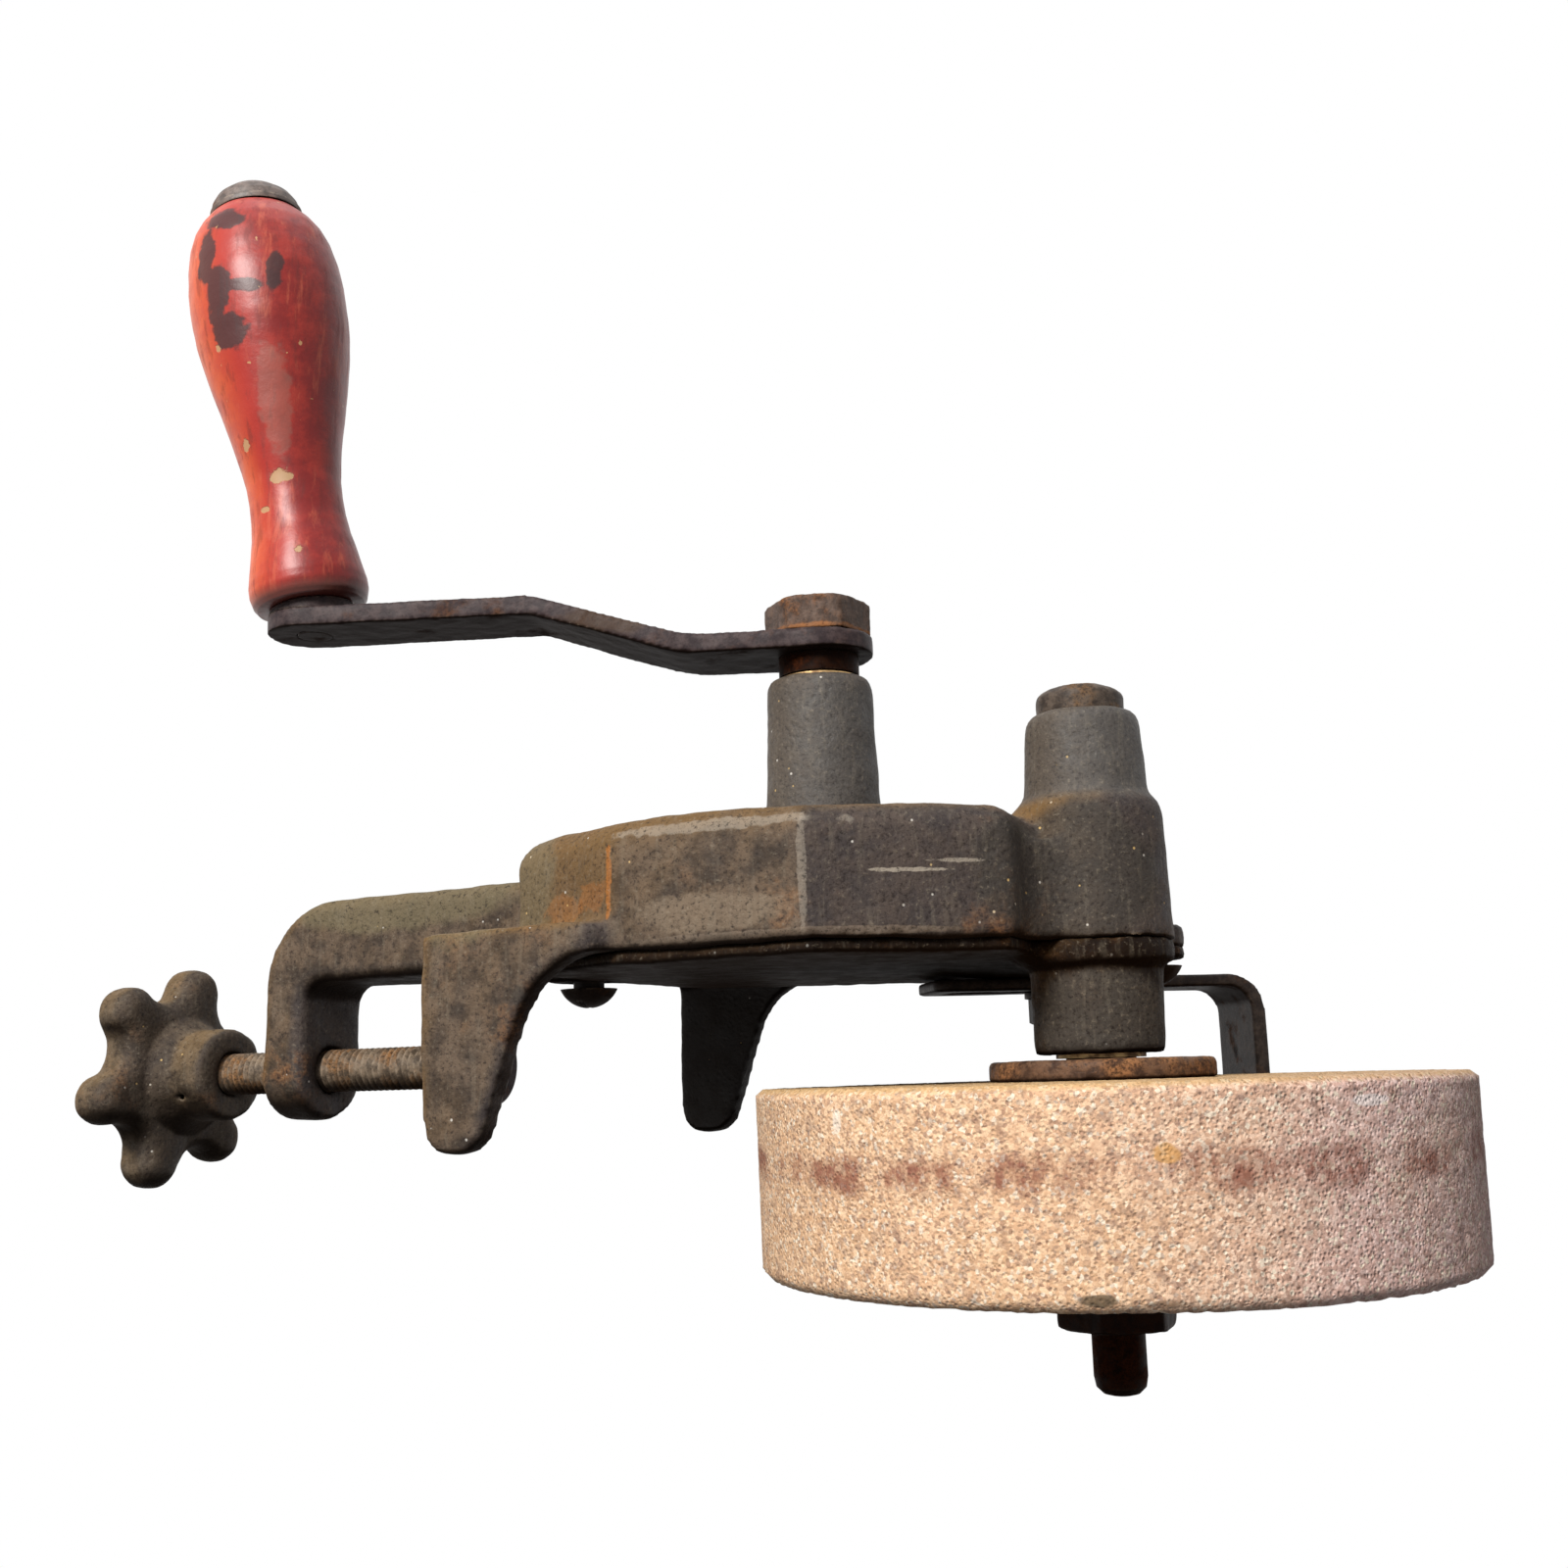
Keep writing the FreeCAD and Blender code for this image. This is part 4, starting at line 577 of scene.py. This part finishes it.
def red_lacquer(name):
    material, tree = start(name)
    at = place(tree)
    along = place(tree, stretch=(1, 0.16, 1))
    # painted light and painted shade over the paint's own red: orange-red on the side toward the window,
    # deep red on the far side
    lit_side = facing(tree, (0.10, 0.0, -0.99), -0.10, 0.70)
    shaded_side = facing(tree, (0.10, 0.0, 0.99), 0.15, 0.80)
    mottled = cloud(tree, at, 130.0, 6.0, 0.68)
    fine = cloud(tree, at, 900.0, 4.0, 0.6)
    colour = over(tree, lit_side, rgb(0.370, 0.026, 0.018), rgb(0.70, 0.115, 0.026))
    colour = over(tree, shaded_side, colour, rgb(0.190, 0.013, 0.012))
    colour = over(tree, times(tree, ease(tree, mottled, 0.40, 0.64), 0.55), colour, rgb(0.42, 0.040, 0.026))
    streak = ease(tree, cloud(tree, along, 420.0, 6.0, 0.7), 0.50, 0.66)
    colour = over(tree, times(tree, streak, 0.45), colour, rgb(0.085, 0.014, 0.012))
    light = ease(tree, cloud(tree, along, 300.0, 6.0, 0.7), 0.54, 0.68)
    colour = over(tree, times(tree, light, 0.35), colour, rgb(0.62, 0.15, 0.08))
    # painted sheen: a greyish-pink stripe down the middle of the grip
    sheen_stripe = spot(tree, (49.7, -119.0, -41.1), (6, 15, 3.4), 1.2, 260.0)
    colour = over(tree, times(tree, sheen_stripe, 0.40), colour, rgb(0.30, 0.13, 0.10))
    soot_and_shade = 0.0
    for centre, reach in BURNS:
        soot_and_shade = times(tree, soot_and_shade, spot(tree, centre, reach, 1.7, 210.0), "ADD")
    colour = over(tree, times(tree, soot_and_shade, 0.88), colour, rgb(0.030, 0.020, 0.021))
    on_axis = {0: at, 1: tuple(GRIP_ALONG)}
    foot = put(tree, "ShaderNodeVectorMath", on_axis, operation="DOT_PRODUCT").outputs["Value"]
    base = GRIP_AT.dot(GRIP_ALONG) / MM_PER_M
    ring = ease(tree, foot, base + 0.0060, base + 0.0030)
    colour = over(tree, times(tree, ring, 0.80), colour, rgb(0.075, 0.030, 0.022))
    chips = 0.0
    for centre, reach in CHIPS:
        chips = times(tree, chips, spot(tree, centre, reach, 1.5, 700.0), "ADD")
    colour = over(tree, times(tree, chips, 0.8), colour, rgb(0.46, 0.31, 0.16))
    sharp = ease(tree, cloud(tree, place(tree, shift=(0.9, 0.1, 0)), 420.0, 3.0, 0.5), 0.73, 0.75)
    colour = over(tree, times(tree, sharp, 0.8), colour, rgb(0.50, 0.30, 0.14))
    gloss = times(tree, ease(tree, soot_and_shade, 0, 1, 0.22, 0.1), ease(tree, chips, 0, 1, 1, 0))
    rough = ease(tree, streak, 0, 1, 0.38, 0.55)
    relief = times(tree, times(tree, mottled, 0.5), times(tree, fine, 0.12), "ADD")
    relief = times(tree, relief, times(tree, chips, 0.35), "SUBTRACT")
    close(tree, colour, rough, 0.0, relief, 0.00035, None,
          {"Coat Weight": gloss, "Coat Roughness": 0.30, "Specular IOR Level": 0.22})
    return material


lacquer = red_lacquer("red_lacquer")
dress(lacquer, "handle_grip")

# %% [markdown]
# ## The castings
# The photograph shows the case 1.6 mm deeper and its cover 1.3 mm thinner than the solids have
# them, and the star knob turned by 31 degrees. The copies are moved by that much before they are
# softened. The case grows only between the joint and the ends of its bosses, which stay in place.

# %% Castings with lumps
CRANK_Z = 58.9
ARBOR_Z = 112.24
SCREW_Y = 18.4
REST_BOLT_X = -48.3
REST_BOLT_Z = 92.0
CASE_DEEPER = 1.6
CASE_WALL_Y = -22.0
CRANK_BOSS_END = -57.0
ARBOR_BOSS_END = -43.2
CRANK_BOSS_REACH = 20
COVER_THINNER = 1.3
COVER_T = 3.7
KNOB_TURN = 31.0


def case_swell(p):
    deeper = CASE_DEEPER * step(p.z, 6.0, 14.0)
    if p.y < CASE_WALL_Y:
        boss_end = CRANK_BOSS_END if abs(p.z - CRANK_Z) < CRANK_BOSS_REACH else ARBOR_BOSS_END
        deeper *= max(0.0, (p.y - boss_end) / (CASE_WALL_Y - boss_end))
    else:
        deeper *= max(0.0, p.y / CASE_WALL_Y)
    return Vector((p.x, p.y - deeper, p.z))


def cover_thin(p):
    if p.y <= 0:
        return p
    away = step(Vector((p.x - REST_BOLT_X, p.z - REST_BOLT_Z)).length, 16.0, 28.0)
    lift = COVER_THINNER * min(1.0, p.y / COVER_T) * (1.0 - 0.45 * step(p.y, 5.0, 21.0))
    return Vector((p.x, p.y - away * lift, p.z))


def knob_turned(p):
    turn = Matrix.Rotation(math.radians(KNOB_TURN), 3, "Z")
    axis = Vector((0.0, SCREW_Y, 0.0))
    return turn @ (p - axis) + axis


IRON_LUMPS = ((22.0, 0.45), (7.0, 0.22), (2.6, 0.12))
COVER_LUMPS = ((14.0, 0.25), (4.0, 0.15), (2.0, 0.08))
KNOB_LUMPS = ((11.0, 0.30), (4.0, 0.18), (2.0, 0.08))
casting = softened("rough_casting", "frame_casting", 1.1, 3, IRON_LUMPS, 3.0, case_swell)
finished(casting, case_iron, "frame", "cast_iron", "frame_casting")
lid = softened("rough_cover", "case_cover", 1.0, 2, COVER_LUMPS, 9.0, cover_thin)
finished(lid, cover_iron, "frame", "cover_iron", "case_cover")
knob = softened("rough_knob", "star_knob", 0.8, 3, KNOB_LUMPS, 5.0, knob_turned)
finished(knob, knob_iron, "screw", "cast_iron", "star_knob")

# %% [markdown]
# ## Forged and cut steel
# The bar of the crank is widest just past its eye and narrows towards the handle. The nuts
# and flanges have lost their sharp corners to rust and spanners. The far face of the tool rest's
# bar is moved in slightly, so that its washer has room when the rest slides.

# %% Steel with lumps
ARM_WIDTHS = ((8.0, 1.0), (20.0, 1.34), (38.0, 1.32), (60.0, 1.09), (76.0, 0.94), (95.0, 0.94),
              (104.0, 1.0))
ARM_LUMPS = ((13.0, 0.22), (4.0, 0.14), (1.6, 0.06))
NUT_LUMPS = ((6.0, 0.14), (2.2, 0.10), (1.1, 0.05))
REST_LUMPS = ((12.0, 0.07), (3.0, 0.03))
REST_EASE = 0.18


def arm_taper(p):
    along = Vector((0.342, 0.0, -0.940))
    across = Vector((0.940, 0.0, 0.342))
    local = p - Vector((0.0, 0.0, CRANK_Z))
    wide = between(local.dot(along), ARM_WIDTHS)
    return p + across * local.dot(across) * (wide - 1.0)


arm = softened("forged_arm", "crank_arm", 0.55, 2, ARM_LUMPS, 7.0, arm_taper)
finished(arm, arm_steel, "crank", "dark_steel", "crank_arm")


def rest_eased(p):
    """Leaves the washer a little room to slide over the bar's far face."""
    return Vector((p.x, p.y - REST_EASE, p.z)) if 6.0 < p.y < 7.5 else p


rest = softened("forged_rest", "tool_rest", 0.6, 1, REST_LUMPS, 2.0, rest_eased)
finished(rest, rest_steel, "rest", "dark_steel", "tool_rest")
for name, node, material, body, slot, voxel in (
        ("worn_crank_nut", "crank_nut", nut_steel, "crank", "rusty_steel", 0.4),
        ("worn_arbor_nut", "arbor_nut", shadow_steel, "arbor", "rusty_steel", 0.4),
        ("rough_inner_flange", "inner_flange", flange_steel, "arbor", "rusty_steel", 0.6),
        ("rough_outer_flange", "outer_flange", shadow_steel, "arbor", "rusty_steel", 0.6),
        ("domed_cap", "arbor_cap", cap_steel, "frame", "turned_steel", 0.4)):
    piece = softened(name, node, voxel, 2, NUT_LUMPS, 4.0)
    finished(piece, material, body, slot, node)

# %% [markdown]
# ## The clamp screw's thread
# A thread is one notch carried round and along: the profile of one pitch is spun in small
# turns that also climb, so each turn ends where the next begins. The rod is then cut to length.

# %% Threads
PITCH = 25.4 / 16
SCREW_R = 4.76
SCREW_FOOT = -107.0
SCREW_HEAD = -27.9
NECK_FOOT = -28.2
NECK_TOP = -24.6
NECK_R = 2.2
BALL_Z = -22.5
BALL_R = 2.5
BALL_TOP = -20.0


def threaded_rod(crest, start_at, end_at, around=28):
    shape = bmesh.new()
    spare = 2.0 * PITCH
    root = crest - 0.60 * PITCH
    line = ((root, 0.0), (root, 0.14), (crest, 0.46), (crest, 0.62), (root, 0.92), (root, 1.0))
    verts = [shape.verts.new((r, 0.0, t * PITCH)) for r, t in line]
    pieces = [shape.edges.new(pair) for pair in zip(verts, verts[1:])]
    turns = int((end_at - start_at) / PITCH) + 4
    bmesh.ops.spin(shape, geom=verts + pieces, cent=(0, 0, 0), axis=(0, 0, 1),
                   dvec=(0, 0, PITCH / around), angle=2 * math.pi * turns, steps=around * turns,
                   use_merge=False)
    bmesh.ops.remove_doubles(shape, verts=shape.verts, dist=1e-4)
    for level, keep_above in ((spare, True), (spare + end_at - start_at, False)):
        everything = shape.verts[:] + shape.edges[:] + shape.faces[:]
        bmesh.ops.bisect_plane(shape, geom=everything, plane_co=(0, 0, level), plane_no=(0, 0, 1),
                               dist=1e-6, clear_inner=keep_above, clear_outer=not keep_above)
    bmesh.ops.holes_fill(shape, edges=[e for e in shape.edges if e.is_boundary])
    bmesh.ops.translate(shape, verts=shape.verts, vec=(0, 0, start_at - spare))
    return shape


def lathe(shape, points, around, matrix=Matrix.Identity(4)):
    """Spins (radius, height) points about Z and adds them to the shape."""
    verts = [shape.verts.new(matrix @ Vector((r, 0.0, h))) for r, h in points]
    pieces = [shape.edges.new(pair) for pair in zip(verts, verts[1:])]
    centre = matrix @ Vector((0, 0, 0))
    axis = (matrix.to_3x3() @ Vector((0, 0, 1))).normalized()
    bmesh.ops.spin(shape, geom=verts + pieces, cent=centre, axis=axis, angle=2 * math.pi,
                   steps=around, use_merge=True)
    bmesh.ops.remove_doubles(shape, verts=shape.verts, dist=1e-5)
    return shape


screw = threaded_rod(SCREW_R, SCREW_FOOT, SCREW_HEAD)
neck = [(0.0, NECK_FOOT), (NECK_R, NECK_FOOT), (NECK_R, NECK_TOP)]
angles = [math.radians(degrees) for degrees in range(-55, 91, 12)]
ball = [(BALL_R * math.cos(angle), BALL_Z + BALL_R * math.sin(angle)) for angle in angles]
lathe(screw, neck + ball + [(0.0, BALL_TOP)], 32)
for vertex in screw.verts:
    vertex.co = Vector((vertex.co.x, vertex.co.y + SCREW_Y, vertex.co.z)) / MM_PER_M
rod = to_object(screw, "threaded_screw")
finished(rod, screw_steel, "screw", "rusty_steel", "clamp_screw")

# %% [markdown]
# ## Wheel and grip, turned fine
# Both are bodies of revolution. The wheel's face and edges are then crumbled a little, always
# inward so that it keeps its diameter, and the grip gets the flats of long use. The wheel is
# 0.9 mm wider than its solid, on the side of the nut, as the photograph shows it.

# %% Turned pieces
def along_y(centre_z):
    return Matrix.Translation((0, 0, centre_z)) @ Matrix.Rotation(math.radians(-90), 4, "X")


def rows(a, b, count):
    return [(a[0] + (b[0] - a[0]) * k / count, a[1] + (b[1] - a[1]) * k / count) for k in range(count)]


STONE_WIDER = 0.9
EYE_R = 10.0
NEAR_FACE_R = 62.2
NEAR_RIM_R = 63.5
FAR_RIM_R = 63.0
FAR_FACE_R = 61.7
STONE_LUMPS = ((9.0, 0.22), (2.4, 0.30), (1.2, 0.20))
stone_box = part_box("grinding_wheel")
near_y = stone_box[0][1] * MM_PER_M
far_y = stone_box[1][1] * MM_PER_M + STONE_WIDER
near_rim = (NEAR_RIM_R, near_y + 1.1)
far_rim = (FAR_RIM_R, far_y - 1.4)
outline = rows((EYE_R, near_y), (NEAR_FACE_R, near_y), 36) + rows((NEAR_FACE_R, near_y), near_rim, 2)
outline += rows(near_rim, far_rim, 34) + rows(far_rim, (FAR_FACE_R, far_y), 2)
outline += rows((FAR_FACE_R, far_y), (EYE_R, far_y), 36) + [(EYE_R, far_y), (EYE_R, near_y)]
wheel_shape = lathe(bmesh.new(), outline, 400, along_y(ARBOR_Z))
for vertex in wheel_shape.verts:
    vertex.co /= MM_PER_M
bmesh.ops.recalc_face_normals(wheel_shape, faces=wheel_shape.faces)
uneven(wheel_shape, STONE_LUMPS, 6.0, inward=True)
wheel = to_object(wheel_shape, "stone_wheel")
finished(wheel, stone, "arbor", "abrasive", "grinding_wheel")

GRIP_LINE = ((3.56, 0.0), (10.9, 0.0), (11.7, 1.1), (12.2, 3.2), (12.2, 5.2), (11.7, 8.0),
             (10.9, 11.8), (10.1, 15.6), (9.7, 19.8), (9.6, 23.8), (9.8, 27.8), (10.4, 31.8),
             (11.2, 35.8), (12.2, 40.4), (13.2, 45.2), (14.4, 51.0), (15.4, 56.5), (16.1, 61.0),
             (16.4, 65.0), (16.5, 69.0), (16.4, 72.6), (15.9, 77.5), (15.0, 82.0), (13.8, 85.2),
             (12.3, 87.6), (10.2, 90.0), (9.4, 90.5), (3.56, 90.5))
GRIP_FOOT = 2.2
lean = GRIP_ALONG.to_track_quat("Z", "X").to_matrix().to_4x4()
grip_points = []
for first, second in zip(GRIP_LINE[1:-1], GRIP_LINE[2:-1]):
    grip_points += rows(first, second, 4)
grip_points = [GRIP_LINE[0]] + grip_points + [GRIP_LINE[-2], GRIP_LINE[-1], GRIP_LINE[0]]
grip_shape = lathe(bmesh.new(), grip_points, 96, Matrix.Translation(GRIP_AT + GRIP_ALONG * GRIP_FOOT) @ lean)
for vertex in grip_shape.verts:
    vertex.co /= MM_PER_M
bmesh.ops.recalc_face_normals(grip_shape, faces=grip_shape.faces)
uneven(grip_shape, ((14.0, 0.30), (5.0, 0.10)), 8.0)
grip = to_object(grip_shape, "turned_grip")
finished(grip, lacquer, "grip", "red_lacquer_wood", "handle_grip")

# %% [markdown]
# ## Light and camera
# The picture is a cut-out on white. One window lights it from the upper left of the picture and
# a weak skylight from above; what faces down stays nearly black. Camera, glossy and
# transmitted rays see pure white, so metal shows that background too.

# %% Camera and light
EYE = Vector((0.2992, 0.0228, 0.1832))
LOOK = Vector((-0.9003, -0.1716, -0.4001))
RIGHT = Vector((-0.4106, 0.0294, 0.9113))
LENS = 37.34
SENSOR = 36.0
SHIFT_Y = 0.0062
MIDDLE = (0, 0, 0.05)
ROOM_LIGHT = 0.15

back = -LOOK.normalized()
across = (RIGHT - RIGHT.dot(back) * back).normalized()
upright = back.cross(across)
camera_data = bpy.data.cameras.new("picture_camera")
camera_data.lens = LENS
camera_data.sensor_width = SENSOR
camera_data.shift_y = SHIFT_Y
camera_data.clip_start = 0.01
camera = bpy.data.objects.new("picture_camera", camera_data)
turn = Matrix((across, upright, back)).transposed().to_4x4()
camera.matrix_world = Matrix.Translation(EYE) @ turn
bpy.context.scene.collection.objects.link(camera)
bpy.context.scene.camera = camera


def area_light(name, position, target, size, power, colour):
    data = bpy.data.lights.new(name, "AREA")
    data.shape = "DISK"
    data.size = size
    data.energy = power
    data.color = colour
    lamp = bpy.data.objects.new(name, data)
    aim = Vector(target) - Vector(position)
    lamp.matrix_world = Matrix.Translation(position) @ aim.to_track_quat("-Z", "Y").to_matrix().to_4x4()
    bpy.context.scene.collection.objects.link(lamp)
    lamp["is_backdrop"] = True


area_light("window", (1.03, -0.69, -0.01), MIDDLE, 0.45, 21.5, (1.0, 0.97, 0.93))
area_light("skylight", (0.0, -1.30, 0.10), MIDDLE, 1.2, 3.4, (0.94, 0.97, 1.0))

world = bpy.data.worlds.new("white_room")
bpy.context.scene.world = world
world.use_nodes = True
sky = world.node_tree
sky.nodes.clear()
path = put(sky, "ShaderNodeLightPath").outputs
mirrored = times(sky, path["Is Glossy Ray"], path["Is Transmission Ray"], "MAXIMUM")
seen = times(sky, path["Is Camera Ray"], mirrored, "MAXIMUM")
room = put(sky, "ShaderNodeBackground", {"Color": rgb(0.96, 0.97, 1.0), "Strength": ROOM_LIGHT}).outputs[0]
white = put(sky, "ShaderNodeBackground", {"Color": rgb(1, 1, 1), "Strength": 1.0}).outputs[0]
mixed = put(sky, "ShaderNodeMixShader", {0: seen, 1: room, 2: white}).outputs[0]
put(sky, "ShaderNodeOutputWorld", {"Surface": mixed})
bpy.context.scene.view_settings.view_transform = "Standard"
print("camera at", tuple(round(v, 3) for v in camera.location))

# %% [markdown]
# ## Sizes
# The softened pieces are held inside the solids' box; both boxes are measured and printed.

# %% Sizes and finish
box_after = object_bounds()
for label, box in (("before", box_before), ("after", box_after)):
    print("size", label, "mm:", [round(1000 * (b - a), 1) for a, b in zip(*box)])
